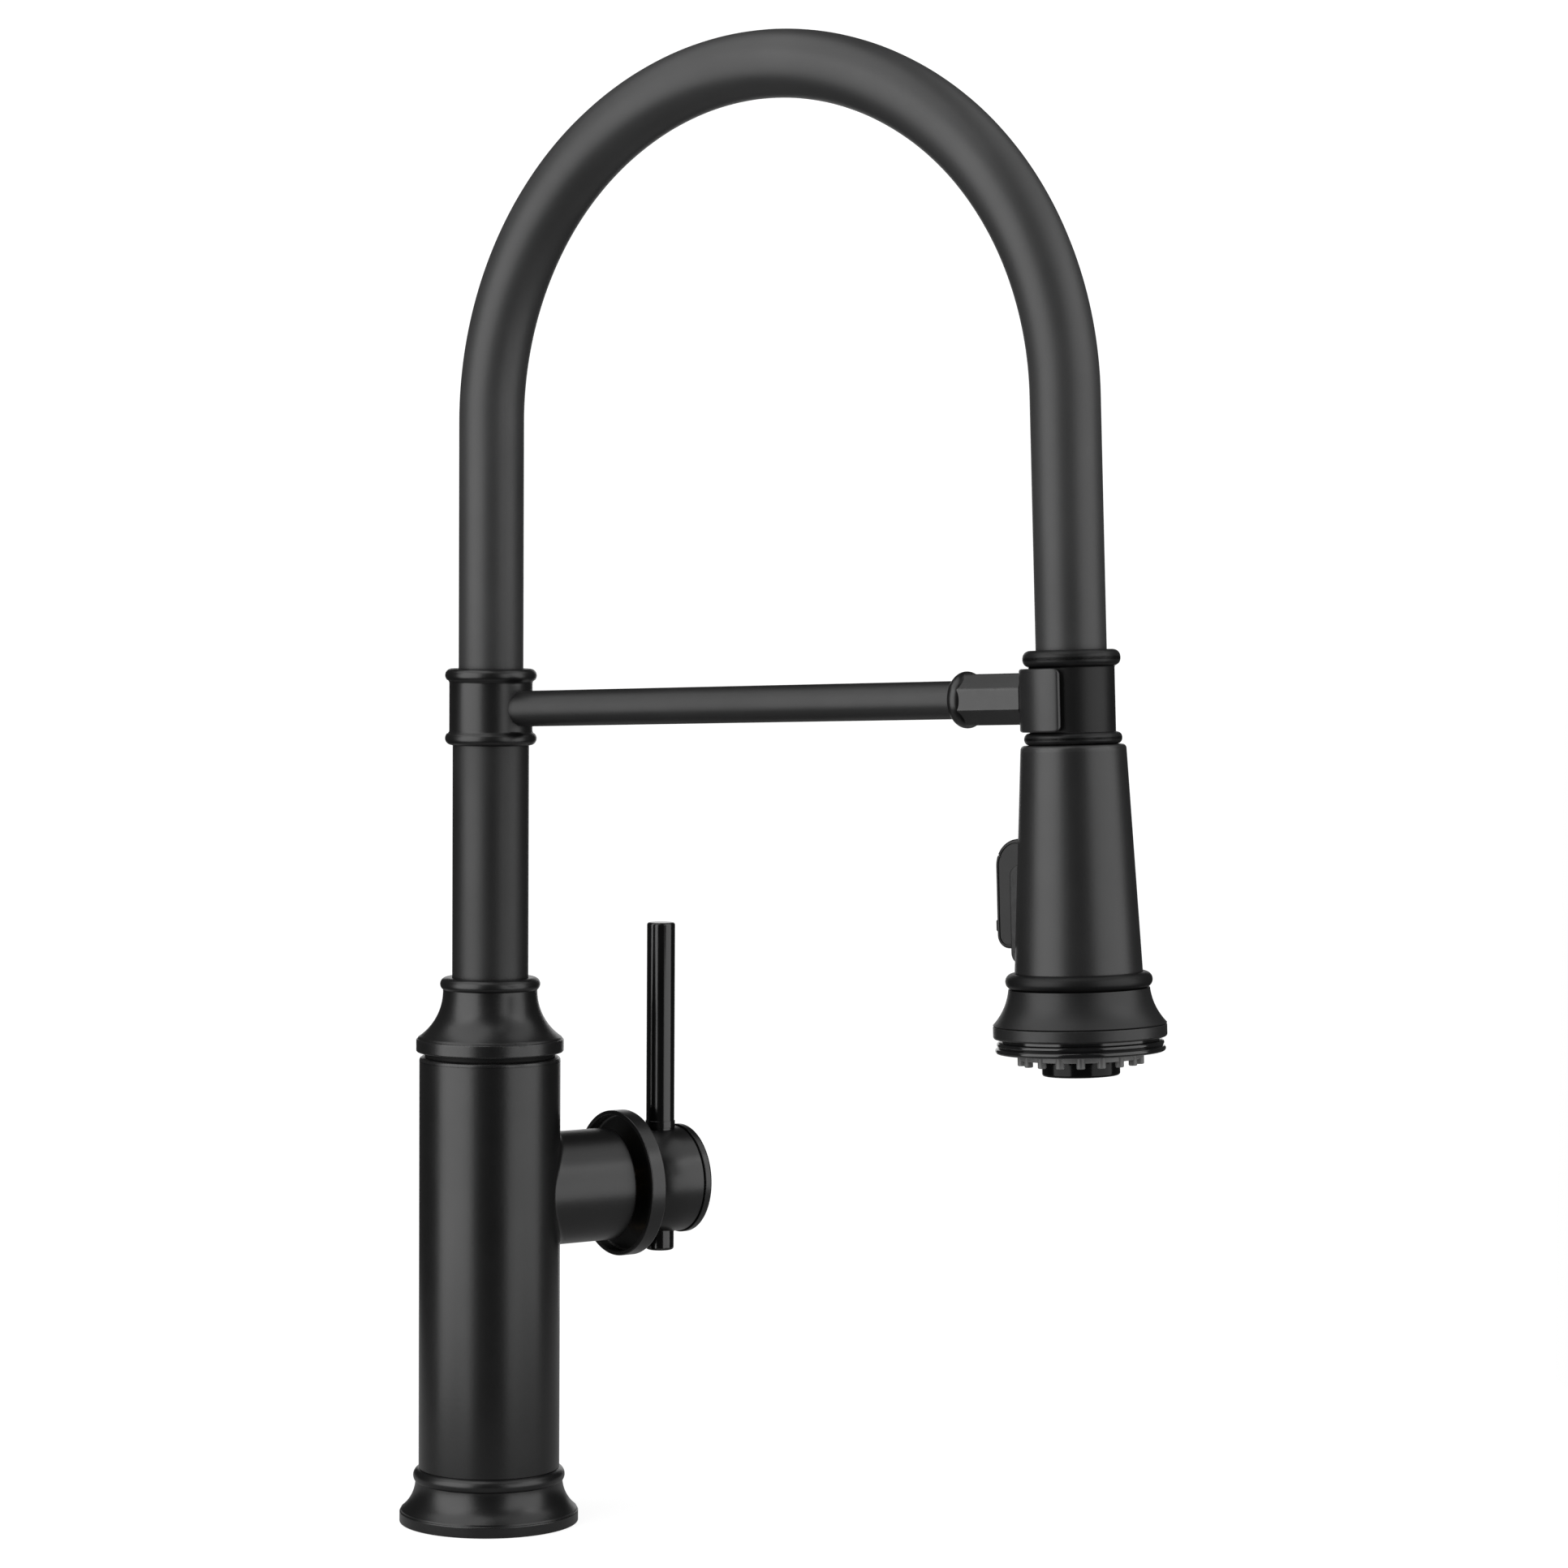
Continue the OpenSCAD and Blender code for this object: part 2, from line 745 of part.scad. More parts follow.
module spigot_o_rings() {
    tube_r = 0.62;
    color([0.06, 0.06, 0.06])
        for (z = [socket_z + 4, socket_z + 9.5])
            o_ring(spigot_r - tube_r + 0.03, tube_r, z);
}

module bell_collar() {
    wall = 2.6;
    inner_r = riser_r + fit;
    color([0.15, 0.15, 0.15])
        difference() {
            rotate_extrude()
                difference() {
                    union() {
                        rounded_band(inner_r, collar_r, collar_z, collar_z + collar_rim_h, 0.6);
                        cove_outline(inner_r, collar_neck_r, collar_r - 0.5, collar_z + collar_rim_h - 0.7,
                            collar_z + collar_h, collar_cove_r);
                        translate([collar_bead_r - bead_tube_r, collar_bead_z])
                            circle(r = bead_tube_r);
                        translate([inner_r, collar_z + collar_h - over])
                            square([collar_bead_r - bead_tube_r - inner_r, bead_h + over]);
                    }
                    cove_outline(0, inner_r + 0.1, collar_r - wall - 1, collar_z - over,
                        collar_z + 10, 9);
                    translate([0, collar_z + 9])
                        square([inner_r, collar_h + bead_h]);
                }
            translate([0, 0, collar_z + 16.5])
                rotate([0, -90, 0])
                    rod(1.5 + fit, inner_r - over, collar_r);
        }
}

module collar_grub_screw() {
    socket_depth = 1.6;
    length = 3.2;
    start = riser_r + fit;
    color([0.3, 0.3, 0.3])
        translate([0, 0, collar_z + 16.5])
            rotate([0, -90, 0])
                difference() {
                    rod(1.5, start, start + length);
                    translate([0, 0, start + length - socket_depth])
                        cylinder(r = 0.85, h = socket_depth + over, $fn = 6);
                }
}

module riser_tube() {
    color([0.15, 0.15, 0.15])
        tube(riser_r, riser_in_r, riser_z, riser_top_z);
}

module hose_nipple() {
    barb_r = hose_in_r - fit;
    flange_z = riser_top_z + 0.6;
    color([0.72, 0.56, 0.3])
        difference() {
            union() {
                rod(riser_in_r - fit, riser_top_z - 14, riser_top_z);
                rod(riser_in_r - fit, riser_top_z, flange_z + 2);
                rod(barb_r, flange_z, flange_z + 18);
                for (k = [0 : 2])
                    translate([0, 0, flange_z + 7 + 3.5 * k])
                        cylinder(r1 = barb_r, r2 = barb_r - 0.5, h = 3);
            }
            rod(2.6, riser_top_z - 14 - over, flange_z + 18 + over);
        }
}

// ---------- docking arm, holder and clip ----------

module arm_ferrule() {
    cove_r = 1.5;
    top_z = ferrule_z + ferrule_h;
    color([0.15, 0.15, 0.15])
        difference() {
            rotate_extrude()
                difference() {
                    union() {
                        translate([0, ferrule_z])
                            square([ferrule_bead_r - bead_tube_r, ferrule_h]);
                        translate([0, ferrule_z + bead_tube_r])
                            square([ferrule_r, ferrule_h - bead_h]);
                        for (z = [ferrule_z + bead_tube_r, top_z - bead_tube_r])
                            translate([ferrule_bead_r - bead_tube_r, z])
                                circle(r = bead_tube_r);
                        // small coves that lead from the sleeve into its beads
                        for (end = [0, 1])
                            translate([ferrule_r - 0.3, end == 0 ? ferrule_z + bead_h - 1.1 : top_z - bead_h - 0.5])
                                difference() {
                                    square([1, 1.6]);
                                    translate([0.3 + cove_r, end == 0 ? 1.6 : 0])
                                        circle(r = cove_r);
                                }
                    }
                    translate([0, riser_top_z - over])
                        square([sleeve_r + 0.15, ferrule_h + over]);
                    translate([0, ferrule_z - over])
                        square([riser_r + fit, riser_top_z - ferrule_z + over]);
                }
            on_arm()
                rod(arm_r + fit, arm_start_d - fit, ferrule_bead_r + over);
        }
}

module docking_arm() {
    color([0.15, 0.15, 0.15])
        on_arm()
            rod(arm_r, arm_start_d, arm_end_d);
}

module clip_holder() {
    tube_r = holder_bead_h / 2;
    octagon_r = holder_a / cos(22.5);
    color([0.15, 0.15, 0.15])
        difference() {
            on_arm()
                difference() {
                    union() {
                        rotate_extrude()
                            union() {
                                translate([holder_bead_r - tube_r, holder_d + tube_r])
                                    circle(r = tube_r);
                                translate([0, holder_d])
                                    square([holder_bead_r - tube_r, holder_bead_h]);
                            }
                        translate([0, 0, holder_d + tube_r])
                            rotate([0, 0, 22.5])
                                cylinder(r = octagon_r, h = reach - holder_d - tube_r, $fn = 8);
                    }
                    rod(arm_r + fit, holder_d - over, arm_end_d + fit);
                    rod(2 + fit, arm_end_d - over, reach);
                }
            on_spray()
                rod(clip_r + fit, -clip_h, clip_h);
        }
}

module clip_screw() {
    head_r = 3.4;
    head_d = reach - clip_bore_r - 0.4;
    color([0.6, 0.6, 0.62])
        on_arm()
            difference() {
                union() {
                    rod(2, arm_end_d + 0.5, head_d - 1);
                    translate([0, 0, head_d - 1.6])
                        cylinder(r1 = 2, r2 = head_r, h = 1.4);
                    rod(head_r, head_d - 0.2, head_d);
                }
                translate([0, 0, head_d - 1.2])
                    cylinder(r = 1.3, h = 2, $fn = 6);
            }
}

// The clip's outline seen from above, its mouth towards +X, with parallel inner sides in front
module clip_outline() {
    tip_r = (clip_r - clip_bore_r) / 2;
    mouth = -cos(clip_wrap) * clip_r;
    difference() {
        circle(r = clip_r);
        circle(r = clip_bore_r);
        translate([0, -clip_bore_r])
            square([clip_r + over, 2 * clip_bore_r]);
        translate([mouth, -clip_r - over])
            square([clip_r, 2 * clip_r + 2 * over]);
    }
}

// What the clip keeps, seen from the side: its two free corners are rounded
module clip_side_outline() {
    mouth = -cos(clip_wrap) * clip_r;
    low = -clip_h / 2 - 0.55;
    top = low + clip_h;
    translate([-clip_r - over, low])
        square([clip_r + over + mouth - clip_corner_r, clip_h]);
    translate([-clip_r - over, low + clip_corner_r])
        square([clip_r + over + mouth, clip_h - 2 * clip_corner_r]);
    for (z = [low + clip_corner_r, top - clip_corner_r])
        translate([mouth - clip_corner_r, z])
            circle(r = clip_corner_r);
}

module neck_clip() {
    head_r = 3.4;
    head_d = reach - clip_bore_r - 0.4;
    color([0.15, 0.15, 0.15])
        difference() {
            on_spray()
                intersection() {
                    translate([0, 0, -clip_h])
                        linear_extrude(2 * clip_h)
                            clip_outline();
                    translate([0, clip_r + over, 0])
                        rotate([90, 0, 0])
                            linear_extrude(2 * clip_r + 2 * over)
                                clip_side_outline();
                }
            on_arm() {
                rod(2 + fit, arm_end_d, reach);
                rod(head_r + fit, head_d - 1.7, reach);
            }
        }
}

// ---------- hose arch ----------

// One bend of the arch in the XZ plane, round (cx, cz), from angle a0 over the sweep
module bend(cx, cz, r_bend, a0, sweep, r_out, r_in) {
    translate([cx, 0, cz])
        rotate([90, 0, 0])
            rotate([0, 0, a0])
                rotate_extrude(angle = sweep)
                    translate([r_bend, 0])
                        difference() {
                            circle(r = r_out);
                            circle(r = r_in);
                        }
}

// A tube that follows the arch, from height z0 on the column's axis to height h1 on the spray's.
// Each side bend runs on by the lap inside its neighbours' walls, so the whole tube fuses into one.
module arch_tube(r_out, r_in, z0, h1) {
    lap = 0.5;
    lap_out = r_out - 0.02;
    lap_in = r_in + 0.02;
    side_sweep = arch_side_angle + 2 * lap;
    top_cx = arch_side_r - (arch_side_r - arch_top_r) * cos(arch_side_angle);
    top_cz = arch_start_z + (arch_side_r - arch_top_r) * sin(arch_side_angle);
    end_angle = 180 - arch_total;
    end_cx = arch_end_x - arch_side_r * cos(end_angle);
    end_cz = arch_end_z - arch_side_r * sin(end_angle);
    drop = (arch_end_z - spray_z) / cos(arm_tilt);
    tube(r_out, r_in, z0, arch_start_z);
    bend(arch_side_r, arch_start_z, arch_side_r, 180 - arch_side_angle - lap, side_sweep, lap_out, lap_in);
    bend(top_cx, top_cz, arch_top_r, 180 - arch_bend_2, arch_top_angle, r_out, r_in);
    bend(end_cx, end_cz, arch_side_r, end_angle - lap, side_sweep, lap_out, lap_in);
    on_spray()
        tube(r_out, r_in, h1, drop);
}

module arch_sleeve() {
    color([0.2, 0.2, 0.2])
        arch_tube(sleeve_r, sleeve_in_r, riser_top_z + 4.6, sleeve_end_h);
}

module arch_spring() {
    color([0.6, 0.6, 0.62])
        arch_tube(spring_r, spring_in_r, riser_top_z + 4.6, sleeve_end_h);
}

module water_hose() {
    color([0.3, 0.3, 0.35])
        arch_tube(hose_r, hose_in_r, riser_top_z + 4.6, sleeve_end_h);
}

// ---------- neck ----------

module neck_tube() {
    color([0.15, 0.15, 0.15])
        on_spray()
            rotate_extrude()
                difference() {
                    union() {
                        rounded_band(shank_r + 1.5, neck_bead_r, upper_bead_low, neck_top_h, upper_bead_h / 2 - 0.3);
                        rounded_band(shank_r + 1.5, neck_bead_r, neck_low_h, lower_bead_top, lower_bead_h / 2 - 0.2);
                        translate([shank_r + 1.5, neck_low_h])
                            square([neck_r - shank_r - 1.5, neck_top_h - neck_low_h]);
                    }
                    translate([0, neck_step_h])
                        square([neck_bore_r, neck_top_h]);
                }
}

module hose_end_fitting() {
    barb_r = hose_in_r - fit;
    color([0.72, 0.56, 0.3])
        on_spray()
            difference() {
                union() {
                    rod(barb_r, neck_step_h, neck_step_h + 16);
                    rod(shank_r + 1.5 - fit, neck_low_h + 3, neck_step_h);
                    rod(shank_r, shank_low_h, neck_low_h + 4);
                    rod(neck_bore_r - fit, neck_step_h, sleeve_end_h - 0.1);
                }
                rod(2.6, shank_low_h - over, neck_step_h + 16 + over);
                rotate_extrude()
                    translate([shank_r, shank_low_h + 4])
                        circle(r = 1.3);
            }
}

module fitting_o_ring() {
    tube_r = 0.6;
    color([0.06, 0.06, 0.06])
        on_spray()
            o_ring(shank_r - tube_r + 0.03, tube_r, shank_low_h + 4);
}

// ---------- spray head ----------

// Radius of the tapered shell at height h on the spray's axis
function shell_r(h) = head_top_r + (head_low_r - head_top_r) * (head_top_h - h) / head_len;

module head_shell() {
    slope = (head_low_r - head_top_r) / head_len;
    edge = head_edge_r;
    color([0.15, 0.15, 0.15])
        on_spray()
            difference() {
                union() {
                    translate([0, 0, head_low_h])
                        cylinder(r1 = head_low_r, r2 = shell_r(head_top_h - edge), h = head_len - edge);
                    rotate_extrude()
                        union() {
                            translate([shell_r(head_top_h - edge) - edge, head_top_h - edge])
                                circle(r = edge);
                            translate([0, head_top_h - edge - over])
                                square([shell_r(head_top_h - edge) - edge, edge + over]);
                        }
                }
                translate([0, 0, head_low_h - over])
                    cylinder(r1 = head_low_r - head_wall + over * slope, r2 = head_top_r - head_wall,
                        h = head_len - head_wall + over);
                rod(shank_r + 0.4, core_top_h - over, head_top_h + over);
                rocker_window(bezel_half_w + fit, rocker_top_h - 1.6 - fit, bezel_low_h + fit);
            }
}

// The window in the shell that the bezel fills, cut through the wall on the column's side
module rocker_window(half_w, top, low) {
    translate([-head_low_r - 5, -half_w, -low])
        cube([head_low_r + 5 - core_r, 2 * half_w, low - top]);
}

module head_core() {
    color([0.8, 0.8, 0.78])
        on_spray()
            difference() {
                union() {
                    rod(core_r - 0.05, core_low_h, core_top_h);
                    rod(head_top_r - head_wall - 0.4, core_top_h - 2.2, core_top_h);
                    rod(head_low_r - head_wall - 0.5, core_low_h, core_low_h + 2.4);
                }
                // the flange's flat, where the bezel's back stands
                translate([-head_low_r, -bezel_half_w - clear, core_low_h - over])
                    cube([head_low_r - core_r + 0.05, 2 * bezel_half_w + 2 * clear, head_len]);
                rod(shank_r + running, shank_low_h - 0.4, core_top_h + over);
                rod(5.5 + fit, shank_low_h - 12, core_top_h);
                rod(3, core_low_h - over, core_top_h);
                // the diverter spool's bore and the side way to the ring of nozzles
                translate([0, 0, -rocker_mid_h - spool_drop])
                    rotate([0, -90, 0])
                        rod(spool_r + running, -6, core_r + over);
                translate([side_way_d, 0, 0])
                    rod(1.6, core_low_h - over, -rocker_mid_h - spool_drop);
                translate([0, 0, -rocker_mid_h - spool_drop])
                    rotate([0, 90, 0])
                        rod(1.6, 0, side_way_d);
                for (a = screw_angles)
                    rotate([0, 0, a])
                        translate([9, 0, 0])
                            rod(1.15 + fit, core_low_h - over, core_low_h + 8);
            }
}

module check_valve() {
    color([0.9, 0.9, 0.9])
        on_spray()
            difference() {
                rod(5.5, shank_low_h - 12, shank_low_h - 1.5);
                rod(4.2, shank_low_h - 8, shank_low_h);
                rod(1.5, shank_low_h - 12 - over, shank_low_h);
            }
}

module head_bead_ring() {
    tube_r = head_bead_h / 2;
    color([0.15, 0.15, 0.15])
        on_spray()
            rotate_extrude()
                union() {
                    translate([head_bead_r - tube_r, head_low_h - tube_r])
                        circle(r = tube_r);
                    translate([head_low_r - head_wall - 1.5, bell_top_h])
                        square([head_bead_r - tube_r - head_low_r + head_wall + 1.5, head_bead_h]);
                }
}

module bell_skirt() {
    wall = 2.4;
    inner_r = head_low_r - head_wall - 1.5;
    color([0.15, 0.15, 0.15])
        on_spray()
            rotate_extrude()
                difference() {
                    union() {
                        rounded_band(inner_r, bell_r, bell_low_h, bell_low_h + bell_rim_h, 0.8);
                        cove_outline(inner_r, bell_neck_r, bell_r, bell_low_h + bell_rim_h - 0.8,
                            bell_top_h, bell_cove_r, 2);
                    }
                    translate([0, bell_low_h - over])
                        square([bell_r - wall, bell_ledge_h - bell_low_h + over]);
                    translate([0, bell_low_h])
                        square([bell_neck_r - wall, bell_h - wall]);
                }
}

module face_ring() {
    band_r = face_h / 4;
    lip_r = bell_r - 2.4 - fit;
    color([0.03, 0.03, 0.03])
        on_spray()
            rotate_extrude()
                union() {
                    translate([plate_r + fit, face_low_h])
                        square([face_r - band_r - plate_r - fit, face_h]);
                    translate([face_r - band_r, face_low_h + band_r])
                        circle(r = band_r);
                    translate([face_r - 0.5 - band_r, face_top_h - band_r])
                        circle(r = band_r);
                    translate([plate_r + fit, face_top_h - over])
                        square([lip_r - plate_r - fit, bell_ledge_h - face_top_h + over]);
                }
}

module spray_plate() {
    color([0.1, 0.1, 0.1])
        on_spray()
            difference() {
                union() {
                    rod(plate_r, face_low_h + 0.8, bell_ledge_h);
                    rod(head_low_r - head_wall - 2, bell_ledge_h - over, core_low_h);
                }
                // seat of the nozzle mat and the water way behind it
                tube(nozzle_pitch_r + 2.2 + fit, nozzle_pitch_r - 2.6 - fit, face_low_h, mat_top_h);
                tube(nozzle_pitch_r + 1, nozzle_pitch_r - 1, mat_top_h - over, side_way_h + 0.2);
                translate([0, 0, side_way_h])
                    rotate([0, 90, 0])
                        rod(0.7, side_way_d, nozzle_pitch_r);
                translate([side_way_d, 0, 0])
                    rod(1.6, side_way_h, core_low_h + over);
                // aerator's seat and the straight way to it
                rod(aerator_r - 1 + fit, face_low_h - over, side_way_h - 0.9);
                rod(3, face_low_h, core_low_h + over);
                for (a = screw_angles)
                    rotate([0, 0, a])
                        translate([9, 0, 0]) {
                            rod(1.15 + fit, face_low_h + 4, core_low_h + over);
                            rod(2.4 + fit, face_low_h + 4, screw_seat_h);
                        }
            }
}

module plate_screws() {
    color([0.6, 0.6, 0.62])
        on_spray()
            for (a = screw_angles)
                rotate([0, 0, a])
                    translate([9, 0, 0])
                        difference() {
                            union() {
                                rod(1.15, screw_seat_h - over, core_low_h + 7.5);
                                rod(2.4, screw_seat_h - 2.4, screw_seat_h);
                            }
                            translate([0, 0, screw_seat_h - 2.4 - over])
                                cylinder(r = 0.9, h = 1 + over, $fn = 6);
                        }
}

module nozzle_mat() {
    rim_h = face_low_h - 2;
    tip_h = rim_h - 1.8;
    color([0.38, 0.38, 0.38])
        on_spray()
            difference() {
                union() {
                    tube(nozzle_pitch_r + 2.2, nozzle_pitch_r - 2.6, face_low_h + 0.8, mat_top_h);
                    tube(nozzle_pitch_r + 0.9, nozzle_pitch_r - 1.2, rim_h, face_low_h + 0.8 + over);
                    for (k = [0 : nozzle_count - 1])
                        rotate([0, 0, nozzle_turn + 360 * k / nozzle_count])
                            translate([nozzle_pitch_r, 0, 0])
                                rod(nozzle_r, tip_h, mat_top_h - 1);
                }
                for (k = [0 : nozzle_count - 1])
                    rotate([0, 0, nozzle_turn + 360 * k / nozzle_count])
                        translate([nozzle_pitch_r, 0, 0])
                            rod(nozzle_bore_r, tip_h - over, mat_top_h + over);
            }
}

module aerator_housing() {
    color([0.03, 0.03, 0.03])
        on_spray()
            rotate_extrude()
                difference() {
                    union() {
                        rounded_band(aerator_r - 2.6, aerator_r, aerator_low_h, face_low_h + 0.4, 0.8);
                        translate([aerator_r - 2.6, face_low_h])
                            square([1.6, 5]);
                        translate([aerator_r - 2.6, face_low_h])
                            square([2.6, 0.8]);
                    }
                    translate([0, aerator_low_h + 1.2])
                        square([aerator_r - 2.2, 30]);
                }
}

module aerator_insert() {
    body_r_a = aerator_r - 2.2 - fit;
    low = aerator_low_h + 1.2;
    ring_step = 2.7;
    color([0.2, 0.2, 0.2])
        on_spray()
            difference() {
                rod(body_r_a, low, low + 8);
                rod(body_r_a - 1.4, low + 3, low + 8 + over);
                for (k = [0 : 2])
                    for (j = [0 : max(0, 6 * k - 1)])
                        rotate([0, 0, k == 0 ? 0 : 360 * j / (6 * k)])
                            translate([k * ring_step, 0, 0])
                                rod(0.95, low - over, low + 3 + over);
            }
}

module aerator_washer() {
    low = aerator_low_h + 1.2 + 8;
    color([0.06, 0.06, 0.06])
        on_spray()
            tube(aerator_r - 2.2 - fit, 5.5, low, low + 1.6);
}

// ---------- rocker and diverter ----------

// The rocker's side outline, drawn in by the inset: X is the distance from the head's axis and
// Y the depth below the arm
module rocker_outline(back, inset) {
    top = rocker_top_h + inset;
    low = rocker_top_h + rocker_len - inset;
    face = rocker_face_d - inset;
    r_top = rocker_top_r - inset;
    r_low = rocker_low_r - inset;
    intersection() {
        translate([back, top])
            square([face - back, low - top]);
        union() {
            translate([0, top])
                square([face - r_top, low - top]);
            translate([face - r_top - over, top + r_top])
                square([over + r_top - r_low, low - top - r_top]);
            translate([face - r_top - over, top + r_top])
                square([over + r_top, low - top - r_top - r_low]);
            translate([face - r_top, top + r_top])
                circle(r = r_top);
            translate([face - r_low, low - r_low])
                circle(r = r_low);
        }
    }
}

// Stands a side outline up on the column's side of the head, half_w to each side
module side_block(half_w) {
    on_spray()
        rotate([0, 180, 0])
            translate([0, half_w, 0])
                rotate([90, 0, 0])
                    linear_extrude(2 * half_w)
                        children();
}

module rocker() {
    skirt_back = 17;
    color([0.13, 0.13, 0.13])
        difference() {
            union() {
                difference() {
                    side_block(rocker_half_w)
                        rocker_outline(skirt_back, 0);
                    // hollow inside the rocker's side walls
                    side_block(rocker_half_w - 1.6)
                        rocker_outline(skirt_back - over, 1.8);
                }
                // hub that the pin passes through
                side_block(rocker_half_w)
                    translate([pivot_d, rocker_mid_h])
                        circle(r = rocker_pin_r + 1.6);
                // finger ridge low on the face
                side_block(rocker_half_w - 1)
                    translate([rocker_face_d - 1, rocker_top_h + 25.8])
                        square([1.5, 3.2]);
                // foot that pushes the diverter spool
                side_block(2)
                    translate([spool_tip_d + 0.15, rocker_mid_h + spool_drop - 1.5])
                        square([rocker_face_d - 1.5 - spool_tip_d, 3]);
            }
            side_block(rocker_half_w + over)
                translate([pivot_d, rocker_mid_h])
                    circle(r = rocker_pin_r + running);
        }
}

module rocker_bezel() {
    top = rocker_top_h - 1.6;
    color([0.13, 0.13, 0.13])
        difference() {
            union() {
                // pan that fills the shell's window, cut flush with the shell
                intersection() {
                    side_block(bezel_half_w)
                        translate([core_r + fit, top])
                            square([head_low_r + 3 - core_r, bezel_low_h - top]);
                    on_spray()
                        translate([0, 0, head_low_h])
                            cylinder(r1 = head_low_r, r2 = head_top_r, h = head_len);
                }
                // raised lower part of the bezel
                side_block(bezel_half_w)
                    difference() {
                        translate([core_r + 2, bezel_raised_h])
                            square([bezel_face_d - core_r - 2, bezel_low_h - bezel_raised_h]);
                        translate([bezel_face_d - bezel_edge_r, bezel_low_h - bezel_edge_r])
                            difference() {
                                square(bezel_edge_r + over);
                                circle(r = bezel_edge_r);
                            }
                    }
            }
            // the rocker's pocket
            side_block(rocker_half_w + clear)
                translate([pocket_d, rocker_top_h - 0.9])
                    square([20, rocker_len + 2.2]);
            // the pin's and the spool's bores
            side_block(bezel_half_w + over)
                translate([pivot_d, rocker_mid_h])
                    circle(r = rocker_pin_r + fit);
            on_spray()
                translate([0, 0, -rocker_mid_h - spool_drop])
                    rotate([0, -90, 0])
                        rod(spool_r + running, 0, 30);
        }
}

module rocker_pin() {
    color([0.7, 0.7, 0.72])
        side_block(bezel_half_w - 0.2)
            translate([pivot_d, rocker_mid_h])
                circle(r = rocker_pin_r);
}

module diverter_spool() {
    groove_r = 1;
    color([0.72, 0.56, 0.3])
        on_spray()
            translate([0, 0, -rocker_mid_h - spool_drop])
                rotate([0, -90, 0])
                    difference() {
                        rod(spool_r, -spool_travel - 2.5, spool_tip_d - 0.15);
                        for (d = [3.2, 9.4])
                            rotate_extrude()
                                translate([spool_r, d])
                                    circle(r = groove_r);
                    }
}

module spool_o_rings() {
    tube_r = 0.45;
    color([0.06, 0.06, 0.06])
        on_spray()
            translate([0, 0, -rocker_mid_h - spool_drop])
                rotate([0, -90, 0])
                    for (d = [3.2, 9.4])
                        o_ring(spool_r - tube_r + 0.03, tube_r, d);
}

base_flange();
base_seal();
mount_foot();
body_shell();
waterway();
swivel_nut();
glide_ring();
cartridge_body();
cartridge_seals();
fixed_disc();
cartridge_nut();
moving_disc();
cartridge_carrier();
tilt_pin();
lever_stem();
lever_dish();
lever_hub();
hub_grub_screw();
lever_rod();
lever_end_cap();
swivel_spigot();
spigot_o_rings();
bell_collar();
collar_grub_screw();
riser_tube();
hose_nipple();
arm_ferrule();
docking_arm();
clip_holder();
clip_screw();
neck_clip();
arch_sleeve();
arch_spring();
water_hose();
neck_tube();
hose_end_fitting();
fitting_o_ring();
head_shell();
head_core();
check_valve();
head_bead_ring();
bell_skirt();
face_ring();
spray_plate();
nozzle_mat();
plate_screws();
aerator_housing();
aerator_insert();
aerator_washer();
rocker_bezel();
rocker_pin();
rocker();
diverter_spool();
spool_o_rings();
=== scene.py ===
import json
import math

import bpy
import numpy as np
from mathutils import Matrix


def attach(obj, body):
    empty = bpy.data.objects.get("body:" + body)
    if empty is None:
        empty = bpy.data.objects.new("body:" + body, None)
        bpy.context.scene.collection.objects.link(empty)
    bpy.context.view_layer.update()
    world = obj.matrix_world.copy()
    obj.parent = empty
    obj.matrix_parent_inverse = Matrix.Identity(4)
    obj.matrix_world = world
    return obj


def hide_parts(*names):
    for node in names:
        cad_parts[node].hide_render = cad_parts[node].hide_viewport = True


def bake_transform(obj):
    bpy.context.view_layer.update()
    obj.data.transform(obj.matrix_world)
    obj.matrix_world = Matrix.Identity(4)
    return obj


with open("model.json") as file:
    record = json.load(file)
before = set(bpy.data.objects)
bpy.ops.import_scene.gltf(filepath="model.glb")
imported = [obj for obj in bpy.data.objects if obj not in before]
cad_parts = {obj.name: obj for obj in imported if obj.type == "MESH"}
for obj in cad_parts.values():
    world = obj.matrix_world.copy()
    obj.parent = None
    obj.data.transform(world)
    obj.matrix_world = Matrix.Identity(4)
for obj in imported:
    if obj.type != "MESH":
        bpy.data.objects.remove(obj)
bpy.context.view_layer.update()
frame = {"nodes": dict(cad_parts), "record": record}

# ---------- Camera ----------
# A long lens a metre and a half from the faucet, just under the height of the docking arm. It looks a
# little downwards, from in front of the spray and to the side the lever stands on.
scene = bpy.context.scene


def new_object(name, data):
    """An object with that data, put into the scene."""
    made = bpy.data.objects.new(name, data)
    scene.collection.objects.link(made)
    return made


def axes_matrix(x_way, y_way, z_way, origin):
    """The matrix of an object with those axes at that origin, one column after the other."""
    axes = np.eye(4)
    axes[:3] = np.column_stack([x_way, y_way, z_way, origin])
    return axes.T.tolist()


camera_data = bpy.data.cameras.new("camera")
camera = new_object("camera", camera_data)
scene.camera = camera
camera_data.sensor_width = 36
camera_data.lens = 103.483
camera_data.clip_start, camera_data.clip_end = 0.05, 40
look_turn, look_down, look_roll = np.radians([36.701, 2.746, 0.327])
upright = np.array([0, 0, 1])
level = np.array([math.cos(look_turn), math.sin(look_turn), 0])
ahead = np.array([-math.sin(look_turn), math.cos(look_turn), 0])
look = math.cos(look_down) * ahead - math.sin(look_down) * upright
crown = math.sin(look_down) * ahead + math.cos(look_down) * upright
camera.matrix_world = axes_matrix(
    math.cos(look_roll) * level + math.sin(look_roll) * crown,
    math.cos(look_roll) * crown - math.sin(look_roll) * level,
    -look, 0.101167 * level - 1.55312 * ahead + 0.331212 * upright)

